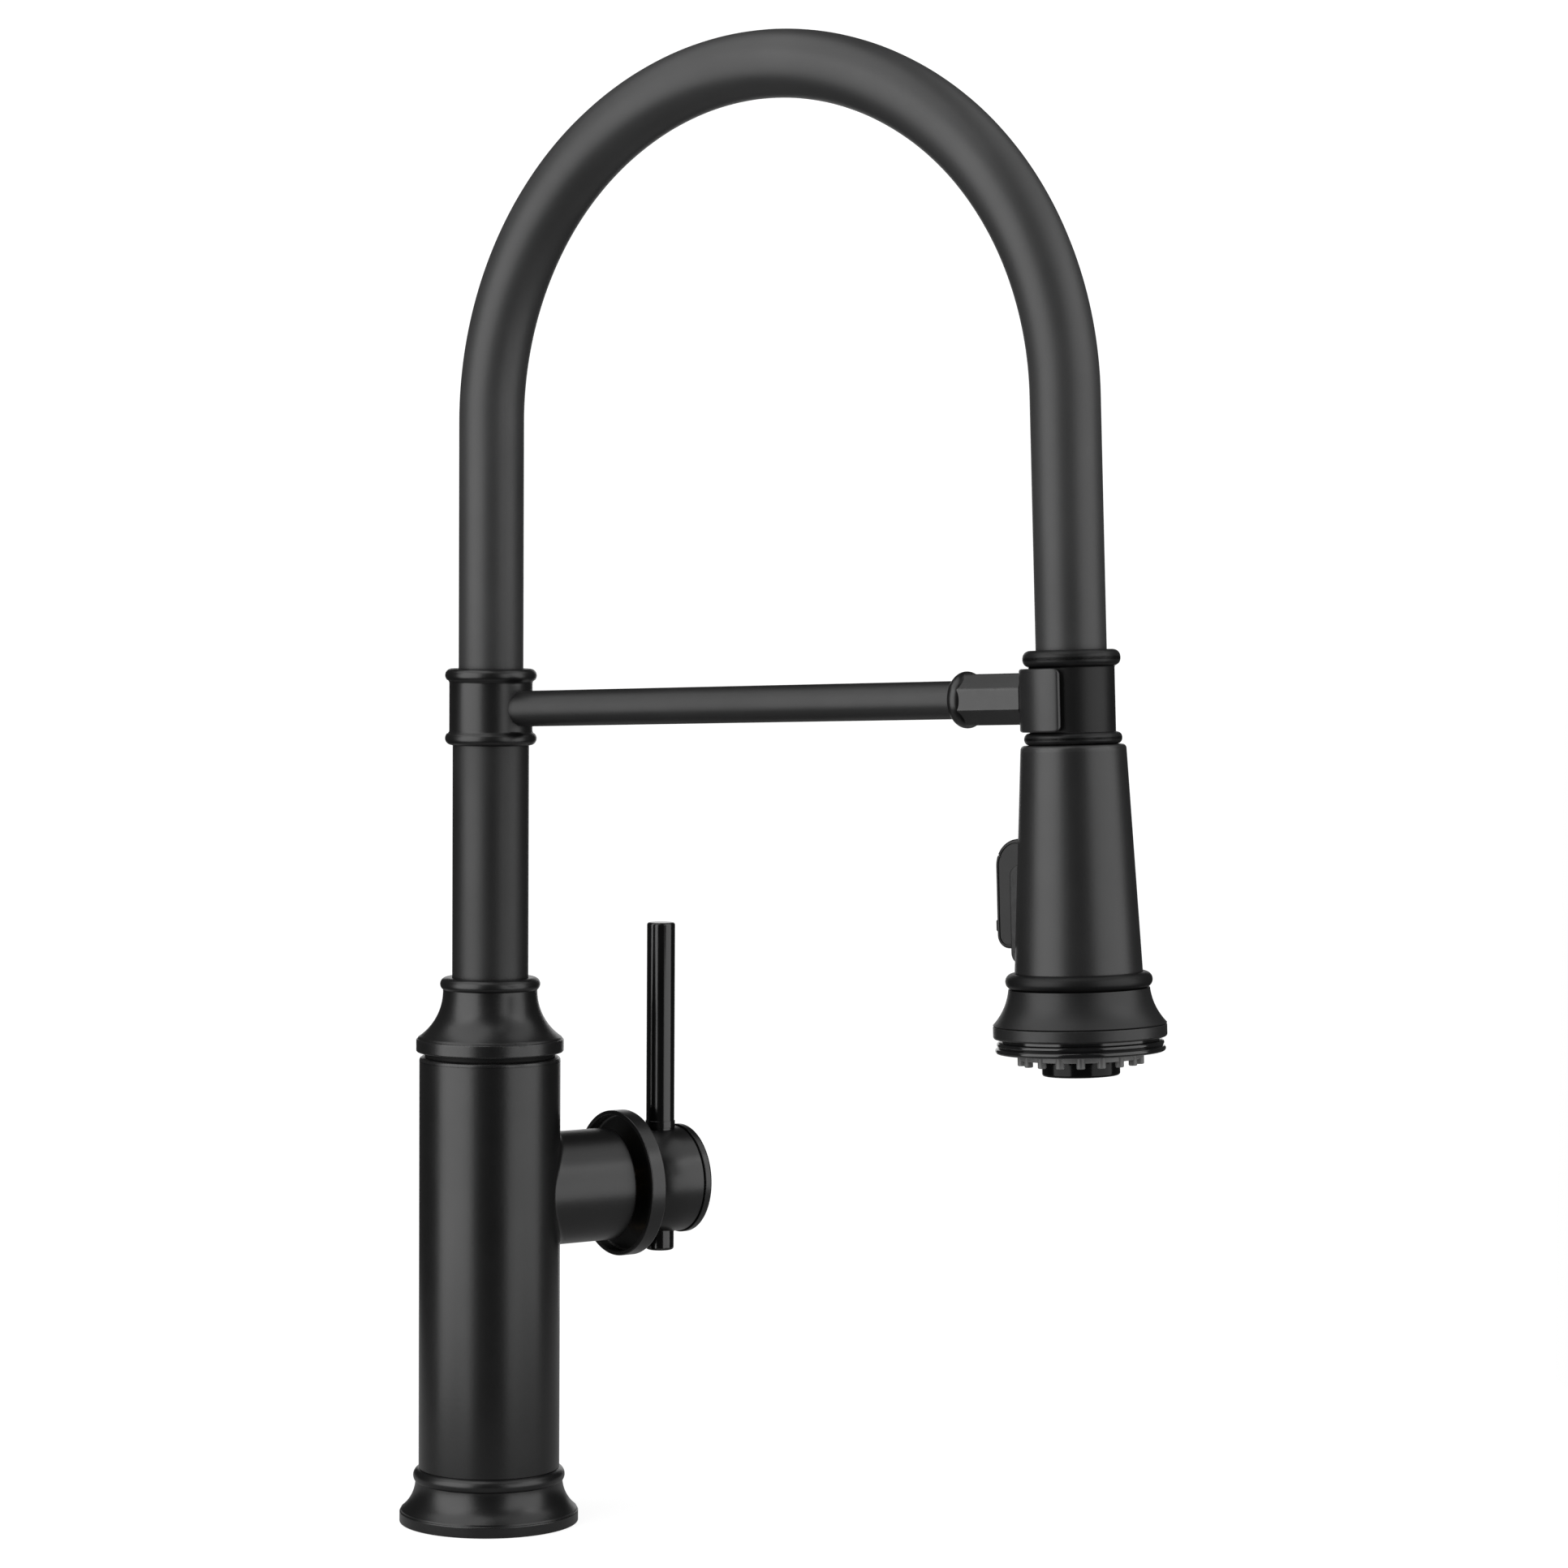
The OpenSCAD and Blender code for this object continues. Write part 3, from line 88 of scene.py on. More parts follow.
# ---------- Studio ----------
# Two tall soft boxes, one on each side, leave the middle of every round part dark. Two more hang above
# them. The floor is a pale sheet, and a pale board stands behind the faucet.
scene.view_settings.view_transform = "Standard"
faucet_middle = np.array([0.08, 0, 0.27])
floor_middle = np.array([0.1, 0, -0.0002])


def unit(vector):
    """The vector, or each of an array's rows, at length one."""
    return vector / np.linalg.norm(vector, axis=-1, keepdims=True)


def soft_box(name, turn, rise, distance, width, height, radiance):
    """A rectangular lamp that faces the faucet's middle. Its place is turned from the camera's
    direction about the upright, raised by rise degrees, at that distance in metres. Its power in
    watts is its radiance times pi times its area."""
    data = bpy.data.lights.new(name, "AREA")
    data.shape = "RECTANGLE"
    data.size, data.size_y = width, height
    data.energy = radiance * math.pi * width * height
    a, e = math.radians(turn), math.radians(rise)
    out = math.cos(e) * (math.sin(a) * level - math.cos(a) * ahead) + math.sin(e) * upright
    x_way = unit(np.cross(upright, out))
    lamp = new_object(name, data)
    lamp.matrix_world = axes_matrix(x_way, np.cross(out, x_way), out, faucet_middle + distance * out)


soft_box("lamp_left", -57, 6, 1.3, 1.5, 1.7, 2.85)
soft_box("lamp_right", 62, 6, 1.3, 1.6, 1.7, 2.0)
soft_box("lamp_over", -74, 60, 1.2, 1.4, 1.1, 1.8)
soft_box("lamp_high", 84, 54, 1.4, 1.5, 1.2, 1.1)


def add_node(tree, kind, inputs={}, **settings):
    """A shader node with its settings. Each of its inputs is given by number or name: a pair
    (node, output) is linked to it, and anything else becomes its value."""
    made = tree.nodes.new("ShaderNode" + kind)
    for key, value in settings.items():
        setattr(made, key, value)
    for key, value in inputs.items():
        if isinstance(value, tuple) and len(value) == 2 and hasattr(value[0], "outputs"):
            tree.links.new(value[0].outputs[value[1]], made.inputs[key])
        else:
            made.inputs[key].default_value = value
    return made


def maths(tree, operation, *values, **settings):
    """A node that works out one sum from its values."""
    return add_node(tree, "Math", dict(enumerate(values)), operation=operation, **settings)


def studio_sheet(name, middle, half_width, way, near, far, lit, glow, mirrored):
    """A flat sheet of pale paper, half_width to each side and from near to far along its way. It takes
    lamp light by its lit colour, so that shadows still fall on it. It adds a white glow that only
    camera and transmitted rays see and, at the mirrored share of its strength, glossy rays."""
    corners = [tuple(middle + side * half_width * level + t * way)
               for side, t in ((-1, near), (1, near), (1, far), (-1, far))]
    mesh = bpy.data.meshes.new(name)
    mesh.from_pydata(corners, [], [(0, 1, 2, 3)])
    paper = bpy.data.materials.new(name)
    paper.use_nodes = True
    tree = paper.node_tree
    tree.nodes.clear()
    ray = add_node(tree, "LightPath")
    in_gloss = maths(tree, "MULTIPLY", (ray, "Is Glossy Ray"), mirrored)
    direct = maths(tree, "MAXIMUM", (ray, "Is Camera Ray"), (ray, "Is Transmission Ray"))
    seen = maths(tree, "MAXIMUM", (direct, 0), (in_gloss, 0))
    strength = maths(tree, "MULTIPLY", (seen, 0), glow)
    white = add_node(tree, "Emission", {"Strength": (strength, 0)})
    matt = add_node(tree, "BsdfDiffuse", {"Color": (lit, lit, lit, 1)})
    both = add_node(tree, "AddShader", {0: (matt, 0), 1: (white, 0)})
    add_node(tree, "OutputMaterial", {"Surface": (both, 0)})
    mesh.materials.append(paper)
    sheet = new_object(name, mesh)


studio_sheet("floor", floor_middle, 0.34, ahead, -0.16, 0.5, lit=0.26, glow=0.86, mirrored=0.16)
studio_sheet("board", floor_middle + 2.2 * ahead, 0.66, upright, -0.35, 0.85,
             lit=0.2, glow=1.0, mirrored=1.0)

room = bpy.data.worlds.new("room")
scene.world = room
room.use_nodes = True
room.node_tree.nodes.clear()
dim, seen_white = [add_node(room.node_tree, "Background", {"Color": (v, v, v, 1)}) for v in (0.05, 1)]
room_ray = add_node(room.node_tree, "LightPath")
shown = add_node(room.node_tree, "MixShader",
                 {0: (room_ray, "Is Camera Ray"), 1: (dim, 0), 2: (seen_white, 0)})
add_node(room.node_tree, "OutputWorld", {"Surface": (shown, 0)})

# ---------- Base flange ----------
# The ring that stands on the deck and hides the hole: a straight edge, a cove and a bead. It is turned
# from brass and powder coated matte black.


def points_at(*coordinates):
    """The points with those coordinates, each spread to the size of the others, on the last axis."""
    return np.stack(np.broadcast_arrays(*coordinates), axis=-1)


def arc(centre_r, centre_z, radius, start, end, steps=14):
    """Points of a circle in the (r, z) plane from angle start to angle end, in degrees, as rows of
    r, z and 0. The 0 is the rounding that rounded_profile gives the point."""
    a = np.radians(np.linspace(start, end, steps + 1))
    return points_at(centre_r + radius * np.cos(a), centre_z + radius * np.sin(a), 0)


def rounded_profile(corners, closed=True, steps=6):
    """Rows of r, z and edge from rows of r, z and rounding. A corner with a rounding becomes the arc
    that touches both its lines; its tangent length is rounding x tan(turn / 2). One more point on each
    side keeps the shading of the long faces flat. The edge value is 1 where the outline turns left."""
    p = np.concatenate([np.atleast_2d(np.array(c, float)) for c in corners])
    out = []
    for k, (here, radius) in enumerate(zip(p[:, :2], p[:, 2])):
        if radius == 0 or (not closed and k in (0, len(p) - 1)):
            out.append([[here[0], here[1], 0]])
            continue
        back, on = unit(p[k - 1, :2] - here), unit(p[(k + 1) % len(p), :2] - here)
        turn = math.pi - math.acos(np.clip(back @ on, -1, 1))
        tangent = radius * math.tan(turn / 2)
        centre = here + unit(back + on) * radius / math.cos(turn / 2)
        first, last = here + back * tangent - centre, here + on * tangent - centre
        s = np.linspace(0, 1, steps + 1)[:, None]
        way = (np.sin((1 - s) * turn) * first + np.sin(s * turn) * last) / math.sin(turn)
        left = float(back[0] * on[1] - back[1] * on[0] < 0)
        extra = 0.35 * radius
        out.append([[*(centre + first + back * extra), 0.4 * left]])
        out.append(np.column_stack([centre + way, np.full(steps + 1, left)]))
        out.append([[*(centre + last + on * extra), 0.4 * left]])
    rows = np.concatenate(out)
    return np.concatenate([rows, rows[:1]]) if closed else rows


def numbered(grid):
    """The numbers of a grid's points, row after row."""
    return np.arange(grid.shape[0] * grid.shape[1]).reshape(grid.shape[:2])


def grid_faces(ids):
    """Four-cornered faces between the neighbours of a grid of point numbers."""
    return np.stack([ids[:-1, :-1], ids[1:, :-1], ids[1:, 1:], ids[:-1, 1:]], axis=-1).reshape(-1, 4)


def grid_shape(points, edge=0.0, flip=False):
    """A shape from a grid of points: the points, the faces between them and each point's edge value.
    Flipped faces look the other way."""
    faces = grid_faces(numbered(points))
    edge = edge + np.zeros(points.shape[:2])
    return points.reshape(-1, 3), faces[:, ::-1] if flip else faces, edge.reshape(-1)


def about_axis(r, angle, z):
    """Points at radius r and that angle about the Z axis, at height z: (r cos a, r sin a, z)."""
    return points_at(r * np.cos(angle), r * np.sin(angle), z)


def lathe(profile, turns=128, angles=None):
    """A profile turned about the Z axis: point (i, j) is (r_j cos a_i, r_j sin a_i, z_j). The angles
    are even steps once round, unless others are given."""
    a = np.linspace(0, 2 * math.pi, turns + 1) if angles is None else angles
    return grid_shape(about_axis(profile[:, 0], a[:, None], profile[:, 1]), profile[:, 2])


def placed(shape, origin, x_way, y_way, z_way):
    """The shape's points carried to another origin and other axes: o + x X + y Y + z Z."""
    points, faces, edge = shape
    return np.array(origin) + points @ np.array([x_way, y_way, z_way]), faces, edge


def joined(*shapes):
    """Several shapes as one list of points and faces, each with its numbers moved on."""
    starts = np.cumsum([0] + [len(s[0]) for s in shapes[:-1]])
    return (np.concatenate([s[0] for s in shapes]),
            np.concatenate([s[1] + k for s, k in zip(shapes, starts)]),
            np.concatenate([s[2] for s in shapes]))


def mesh_of(name, shape):
    """A mesh in metres from a shape in millimetres. Points closer than 0.00001 mm are one, which closes
    seams and poles, and faces left with two corners go."""
    points, faces, edge = shape
    keys, first, number = np.unique(np.round(points, 5), axis=0, return_index=True, return_inverse=True)
    faces = number.reshape(-1)[faces]
    same = faces == np.roll(faces, -1, axis=1)
    quads = faces[same.sum(1) == 0]
    thin = faces[same.sum(1) == 1]
    at = same[same.sum(1) == 1].argmax(1)[:, None]
    tris = np.take_along_axis(thin, (at + np.arange(1, 4)) % 4, axis=1)
    worn_or_sheen = np.zeros(len(keys))
    np.maximum.at(worn_or_sheen, number.reshape(-1), edge)
    mesh = bpy.data.meshes.new(name)
    mesh.from_pydata((points[first] * 0.001).tolist(), [], quads.tolist() + tris.tolist())
    mesh.attributes.new("edge", "FLOAT", "POINT").data.foreach_set("value", worn_or_sheen.astype(np.float32))
    return mesh


def make_piece(name, shape, body, nodes, slot, material, crease=38):
    """A piece with the shape's mesh. Every side smoother than the crease angle is shaded smooth. The
    piece rides on its body and stands for its CAD nodes."""
    mesh = mesh_of(name, shape)
    mesh.shade_smooth()
    mesh.set_sharp_from_angle(angle=math.radians(crease))
    mesh.materials.append(material)
    piece = new_object(name, mesh)
    if body:
        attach(piece, body)
    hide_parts(*nodes)
    return piece


def turned_piece(name, profile, turns, axes, *where):
    """A piece that is one profile turned about the third of its axes."""
    return make_piece(name, placed(lathe(profile, turns), *axes), *where)


def new_group(name, wanted, given):
    """An empty shader node group of floats, with its named inputs (name, value) and outputs."""
    group = bpy.data.node_groups.new(name, "ShaderNodeTree")
    for label, value in wanted:
        socket = group.interface.new_socket(label, in_out="INPUT", socket_type="NodeSocketFloat")
        socket.default_value = value
    for label in given:
        group.interface.new_socket(label, in_out="OUTPUT", socket_type="NodeSocketFloat")
    return group, group.nodes.new("NodeGroupInput"), group.nodes.new("NodeGroupOutput")


def noise(tree, **inputs):
    """A noise over the object's own coordinates, four-dimensional if it is given a W."""
    place = add_node(tree, "TexCoord")
    return add_node(tree, "TexNoise", {"Vector": (place, "Object"), **inputs},
                    noise_dimensions="4D" if "W" in inputs else "3D")


def spread(tree, source, low, high, to_low=0.0, to_high=1.0):
    """A value that goes from to_low to to_high while its source goes from low to high."""
    return add_node(tree, "MapRange", {0: source, 1: low, 2: high, 3: to_low, 4: to_high})


# Coat grain: the fine pebbled skin of a powder coat or of moulded plastic. Height is two sizes of
# grain, Tone a slow cloud with a few paler specks, Rough a slow patchiness as hands leave it.
coat_grain, grain_in, grain_out = new_group(
    "coat_grain", [("Grain", 2400.0), ("Cloud", 30.0), ("Speck", 900.0), ("Specks", 0.3)],
    ["Tone", "Rough", "Height"])
pebbles = noise(coat_grain, Scale=(grain_in, "Grain"), Detail=2.0, Roughness=0.55)
peel_scale = maths(coat_grain, "MULTIPLY", (grain_in, "Grain"), 0.28)
orange_peel = noise(coat_grain, Scale=(peel_scale, 0), Detail=1.0, Roughness=0.4)
height = maths(coat_grain, "MULTIPLY_ADD", (pebbles, 0), 0.6, (orange_peel, 0))
cloud = noise(coat_grain, Scale=(grain_in, "Cloud"), Detail=4.0, Roughness=0.6)
patches = noise(coat_grain, W=7.0, Scale=(grain_in, "Cloud"), Detail=6.0, Roughness=0.65)
specks = noise(coat_grain, Scale=(grain_in, "Speck"), Detail=1.0)
rare = spread(coat_grain, (specks, 0), 0.72, 0.8)
rare_part = maths(coat_grain, "MULTIPLY", (rare, 0), (grain_in, "Specks"))
clouds = spread(coat_grain, (cloud, 0), 0.3, 0.7)
tone = maths(coat_grain, "ADD", (clouds, 0), (rare_part, 0), use_clamp=True)
patchy = spread(coat_grain, (patches, 0), 0.3, 0.7)
for label, source in (("Tone", tone), ("Rough", patchy), ("Height", height)):
    coat_grain.links.new(source.outputs[0], grain_out.inputs[label])

# Edge wear and sheen: outside edges painted paler, partly as rubbed wear and partly as a painted
# highlight along each edge. The mesh carries how sharp each place is, and a broken noise lets the paler
# edge come and go along it.
edge_wear_sheen_group, wear_sheen_in, wear_sheen_out = new_group("edge_wear_sheen_group", [("Break", 260.0), ("Amount", 0.5)], ["Mask"])
sharpness = add_node(edge_wear_sheen_group, "Attribute", attribute_name="edge")
broken = noise(edge_wear_sheen_group, Scale=(wear_sheen_in, "Break"), Detail=5.0, Roughness=0.7)
broken_part = spread(edge_wear_sheen_group, (broken, 0), 0.35, 0.62, 0.15, 1.0)
wear_sheen_raw = maths(edge_wear_sheen_group, "MULTIPLY", (sharpness, "Fac"), (broken_part, 0))
wear_sheen_scaled = maths(edge_wear_sheen_group, "MULTIPLY", (wear_sheen_raw, 0), (wear_sheen_in, "Amount"), use_clamp=True)
edge_wear_sheen_group.links.new(wear_sheen_scaled.outputs[0], wear_sheen_out.inputs["Mask"])

finishes = {}


def finish(name, dark, light, wear_sheen_to, rough, rough_spread, grain, bump, wear_sheen_amount=0.5, metal=0.0,
           cloud=30.0, specks=0.3, shine=0.5):
    """One finish. Its colour goes from dark to light by the grain group's Tone and, by the edge mask,
    towards its third colour, which paints outside edges paler: partly rubbed wear and partly a painted
    highlight. A colour of two numbers is a grey and its blue. Its roughness varies round rough by
    rough_spread and drops on those paler edges. The bump is the grain's height in thousandths of a
    millimetre, and shine is how strongly the surface mirrors."""
    dark, light, wear_sheen_to = [(c[0], *c[-2:], 1) for c in (dark, light, wear_sheen_to)]
    made = bpy.data.materials.new(name)
    made.use_nodes = True
    tree = made.node_tree
    tree.nodes.clear()
    skin = add_node(tree, "Group", {"Grain": grain, "Cloud": cloud, "Specks": specks},
                    node_tree=coat_grain)
    # The edge mask paints outside edges paler: rubbed wear and a painted highlight.
    worn_or_sheen = add_node(tree, "Group", {"Amount": wear_sheen_amount}, node_tree=edge_wear_sheen_group)
    colour = add_node(tree, "Mix", {0: (skin, "Tone"), 6: dark, 7: light}, data_type="RGBA")
    wear_sheen_colour = add_node(tree, "Mix", {0: (worn_or_sheen, "Mask"), 6: (colour, 2), 7: wear_sheen_to},
                             data_type="RGBA")
    roughness = spread(tree, (skin, "Rough"), 0.0, 1.0, rough - rough_spread, rough + rough_spread)
    wear_sheen_rough = maths(tree, "MULTIPLY_ADD", (worn_or_sheen, "Mask"), -0.12, (roughness, 0))
    relief = add_node(tree, "Bump", {
        "Strength": 1.0, "Distance": bump * 1e-6, "Height": (skin, "Height")})
    surface = add_node(tree, "BsdfPrincipled", {
        "Base Color": (wear_sheen_colour, 2), "Roughness": (wear_sheen_rough, 0), "Normal": (relief, 0),
        "Metallic": metal, "Specular IOR Level": shine})
    add_node(tree, "OutputMaterial", {"Surface": (surface, 0)})
    finishes[name] = made
    return made


black_coat = finish("black_coat", (0.0018, 0.0019), (0.004, 0.0041), (0.016, 0.0163),
                    0.32, 0.03, 2400, 12)
column_axes = ([0, 0, 0], *np.eye(3))

flange = rounded_profile([
    (26.95, 0, 0.1), (26.95, 1.5, 0), (29.65, 1.5, 0), (29.65, 0, 0.1), (31, 0, 0.35),
    (31, 3.8, 0.5), (30.6, 4.0, 0.1), arc(39.0, 15.0, 13.5, 231.0, 182.6, 26),
    arc(23.5, 16.2, 2.8, -42, 88, 18), (23.05, 19, 0), (23.05, 3.95, 0), (22.0, 3.95, 0), (22.0, 0, 0.2)])
turned_piece("flange", flange, 160, column_axes, "base", ["base_flange"], "matte_black", black_coat)

# ---------- Body with its valve housing ----------
# One casting: the straight body and, square to it, the round housing that takes the cartridge. The
# casting has a small fillet all round the housing's root, and the same black coat.
valve_z, valve_turn = 114.1, math.radians(71)
valve_out = np.array([math.cos(valve_turn), math.sin(valve_turn), 0])
valve_side = np.array([-math.sin(valve_turn), math.cos(valve_turn), 0])
body_r, bore_r, housing_r, housing_bore_r, root_fillet = 24.4, 21.4, 19.7, 17.7, 2.2
housing_end, lip_round = 48, 0.6

# The walls are laid out about the valve's direction. A patch of the grid round the hole is finer.
patch_half, patch_rise, patch_across, patch_up = math.radians(66), 24.5, 40, 36
patch_a = np.linspace(-patch_half, patch_half, patch_across + 1)
patch_z = np.linspace(valve_z - patch_rise, valve_z + patch_rise, patch_up + 1)
rest_a = np.linspace(patch_half, 2 * math.pi - patch_half, 85)[1:]
wall_a = np.concatenate([patch_a, rest_a]) + valve_turn


def saddle(tube_r, wall_r, around):
    """The line where a tube of radius tube_r, square to a column of radius wall_r, leaves it: side u =
    tube_r cos t, rise v = tube_r sin t and distance sqrt(wall_r^2 - u^2)."""
    u, v = tube_r * np.cos(around), tube_r * np.sin(around)
    return points_at(u, v, np.sqrt(wall_r ** 2 - u ** 2))


def column_wall(radius, hole, low, high, inward=False):
    """A column's wall with one hole. The wall is a grid of angle and height; its cells in a patch round
    the hole give way to spokes from the patch's border to the hole's line, straight in angle and
    height. Returns the shape and the angle about the valve's axis of every spoke."""
    z = np.concatenate([low, patch_z, high])
    grid = about_axis(radius, wall_a[:, None], z)
    keep = np.ones((len(wall_a) - 1, len(z) - 1), bool)
    keep[:patch_across, len(low):len(low) + patch_up] = False
    wall = grid.reshape(-1, 3), grid_faces(numbered(grid))[keep.reshape(-1)], np.zeros(grid.size // 3)
    border = np.concatenate([
        points_at(patch_a, patch_z[0]), points_at(patch_a[-1], patch_z[1:]),
        points_at(patch_a[-2::-1], patch_z[-1]), points_at(patch_a[0], patch_z[-2::-1])])
    t = np.arctan2(border[:, 1] - valve_z, radius * np.sin(border[:, 0]))
    line = hole(t)
    hole_at = points_at(np.arctan2(line[:, 0], line[:, 2]), line[:, 1] + valve_z)
    spoke = border + np.linspace(0, 1, 13)[:, None, None] ** 0.8 * (hole_at - border)
    spokes = grid_shape(about_axis(radius, spoke[..., 0] + valve_turn, spoke[..., 1]), flip=True)
    points, faces, edge = joined(wall, spokes)
    return (points, faces[:, ::-1] if inward else faces, edge), t


def valve_point(line):
    """Side, rise and distance along the valve's axis, as a point beside the column."""
    return (line[..., :1] * -valve_side + line[..., 1:2] * upright + line[..., 2:] * valve_out
            + [0, 0, valve_z])


def fillet_ball(t):
    """The middle of the ball that rolls round the housing's root, of radius root_fillet."""
    return saddle(housing_r + root_fillet, body_r + root_fillet, t)


def fillet_foot(t):
    """Where that ball touches the body."""
    swell = body_r / (body_r + root_fillet)
    return fillet_ball(t) * [swell, 1, swell]


def bore_foot(_):
    """Where the cartridge's bore opens into the column, on the outer wall's spokes."""
    return saddle(housing_bore_r, bore_r, spoke_t)


def housing_shape():
    """The housing as lines round the valve's axis. They go over the root's fillet, out along the side,
    round the lip, and back down the bore to the inside of the column."""
    ball = fillet_ball(spoke_t)
    squeeze = housing_r / (housing_r + root_fillet)
    tip = ball * [squeeze, squeeze, 1]
    s = np.linspace(0, 1, 9)[:, None, None]
    bend = ball + root_fillet * unit((1 - s) * (fillet_foot(spoke_t) - ball) + s * (tip - ball))
    side_d = np.linspace(0.08, 1, 10)[:, None] * (housing_end - 0.8 - tip[:, 2]) + tip[:, 2]
    side = points_at(tip[:, 0], tip[:, 1], side_d)
    q = np.radians(np.linspace(0, 90, 6))[:, None]
    lip = about_axis(housing_r - lip_round + lip_round * np.cos(q), spoke_t,
                     housing_end - lip_round + lip_round * np.sin(q))
    mouth = about_axis(np.c_[[19.0, 18.0, 17.8]], spoke_t, housing_end)
    bore = about_axis(housing_bore_r, spoke_t, np.c_[[47.9, 40.0, 32.0, 24.0]])
    lines = np.concatenate([bend, side, lip, mouth, bore, bore_foot(spoke_t)[None]])
    edge = np.zeros((len(lines), 1))
    edge[len(bend) + len(side):][:len(lip)] = 1
    return grid_shape(valve_point(lines), edge)


outer_wall, spoke_t = column_wall(
    body_r, fillet_foot, np.concatenate([[19.0, 19.3], np.linspace(20, 86, 23)]),
    np.concatenate([np.linspace(142, 160, 7), [160.5]]))
inner_wall, _ = column_wall(
    bore_r, bore_foot, np.concatenate([[4.0], np.linspace(12, 84, 10)]), np.linspace(144, 161.9, 4),
    inward=True)
top_lip = rounded_profile([(body_r, 160.5, 0), (body_r, 161.9, 1.2), (bore_r, 161.9, 0)], closed=False)
low_step = rounded_profile([(bore_r, 4.0, 0), (23.0, 4.0, 0), (23.0, 19.0, 0), (body_r, 19.0, 0)],
                           closed=False)
body = joined(outer_wall, housing_shape(), inner_wall, lathe(top_lip, angles=wall_a),
              lathe(low_step, angles=wall_a))
make_piece("body", body, "base", ["body_shell"], "matte_black", black_coat)

# ---------- Bell collar, riser tube and ferrule ----------
# The collar turns on the body and flares over the groove. The riser stands in it and carries the
# ferrule, a sleeve between two beads that the docking arm is brazed into. Turned brass, black coat.
riser_r = 13.15
collar = rounded_profile([
    (21.9, 163.6, 0), (25.5, 163.6, 0.6), (25.5, 167.9, 0.6), (25.0, 168.2, 0.1),
    arc(35.7, 184.7, 19.4, 235.8, 181.0, 28), arc(14.95, 187.05, 2.35, -54, 90, 16),
    (13.2, 189.4, 0.2), (13.2, 174.6, 0), arc(22.3, 173.6, 9.0, 180, 267, 10)])
collar_piece = turned_piece("bell_collar_skin", collar, 160, column_axes, "spout", ["bell_collar"],
                            "matte_black", black_coat)

soft_coat = finish("soft_coat", (0.0028, 0.0029), (0.0055, 0.0056), (0.016, 0.0163), 0.46, 0.03, 2400, 12)
riser = rounded_profile([
    (11.25, 176.1, 0), *[(riser_r, z, 0) for z in (176.1, 200, 240, 275)], (11.25, 275, 0)])
turned_piece("riser", riser, 128, column_axes, "spout", ["riser_tube"], "matte_black", soft_coat)

ferrule_middle_z = 282.8
half_ferrule = np.concatenate([
    arc(13.45, 271.95, 2.35, -90, 45.3, 16), arc(15.85, 274.8, 1.5, 237.8, 180, 8)])
other_half = half_ferrule[::-1] * [1, -1, 1] + [0, 2 * ferrule_middle_z, 0]
ferrule = rounded_profile([
    (13.2, 269.6, 0), half_ferrule, other_half, (11.3, 296, 0.3), (11.3, 275, 0), (13.2, 275, 0)])
turned_piece("ferrule", ferrule, 144, column_axes, "spout", ["arm_ferrule"], "matte_black", black_coat)

# ---------- Docking arm and clip ----------
# A thin round arm slopes up to the spray. Its end goes through a bead into an eight-sided holder, which
# a screw pulls against a moulded clip, open at the front, that the spray's neck snaps into.
tilt, reach, arm_r = math.radians(2.2), 238.7, 6.12
arm_way = np.array([math.cos(tilt), 0, math.sin(tilt)])
head_up = np.array([-math.sin(tilt), 0, math.cos(tilt)])
across_way = np.array([0, 1.0, 0])
arm_start = np.array([0, 0, 281.9])
arm_axes = (arm_start, -head_up, across_way, arm_way)
spray_at = arm_start + reach * arm_way
spray_axes = (spray_at, arm_way, across_way, head_up)

arm = rounded_profile([
    (0, 12.35, 0), (arm_r, 12.35, 0.2), (arm_r, 80, 0), (arm_r, 140, 0), (arm_r, 212.75, 0.3),
    (0, 212.75, 0)], closed=False)
turned_piece("arm", arm, 72, arm_axes, "spout", ["docking_arm"], "matte_black", soft_coat)


def holder_shape():
    """The holder. Its outline has eight corners, at 22.5 degrees and on, each rounded by an arc that
    touches both its flats. It is carried along the arm from inside the bead. Its last millimetre is
    drawn in by a small rounding, and its end is hollowed to the clip's radius: an end point at side y
    lies at reach - sqrt(clip_r^2 - y^2)."""
    half_flat, corner, clip_r, start_d = 8.15, 0.9, 16.62, 199.0
    turns = np.radians(22.5 + 45 * np.arange(8))
    tip = half_flat / math.cos(math.radians(22.5))
    outline = rounded_profile([points_at(tip * np.cos(turns), tip * np.sin(turns), corner)], steps=5)
    q = np.radians(np.linspace(15, 90, 6))
    shrink = np.concatenate([np.ones(6), 1 - 0.05 * (1 - np.cos(q)), [0.9, 0.6, 0.3, 0]])[:, None]
    before = np.concatenate([[1, 0.8, 0.6, 0.4, 0.2, 0.03], 0.4 * (1 - np.sin(q)) / 20, [0, 0, 0, 0]])
    side, rise = outline[:, 1] * shrink, outline[:, 0] * shrink
    end = reach - np.sqrt(clip_r ** 2 - side ** 2)
    points = points_at(rise, side, end - before[:, None] * (end - start_d))
    edge = np.tile(outline[:, 2], (len(shrink), 1))
    edge[6:12] = 1
    return grid_shape(np.concatenate([points[:1] * [0, 0, 1], points]),
                      np.concatenate([0 * edge[:1], edge]), flip=True)


holder_bead = rounded_profile([
    (0, 195.75, 0), arc(5.9, 198.95, 3.2, -90, 90, 22), (0, 202.15, 0)], closed=False)
make_piece("holder", placed(joined(lathe(holder_bead, 96), holder_shape()), *arm_axes), "spout",
           ["clip_holder"], "matte_black", black_coat, crease=50)


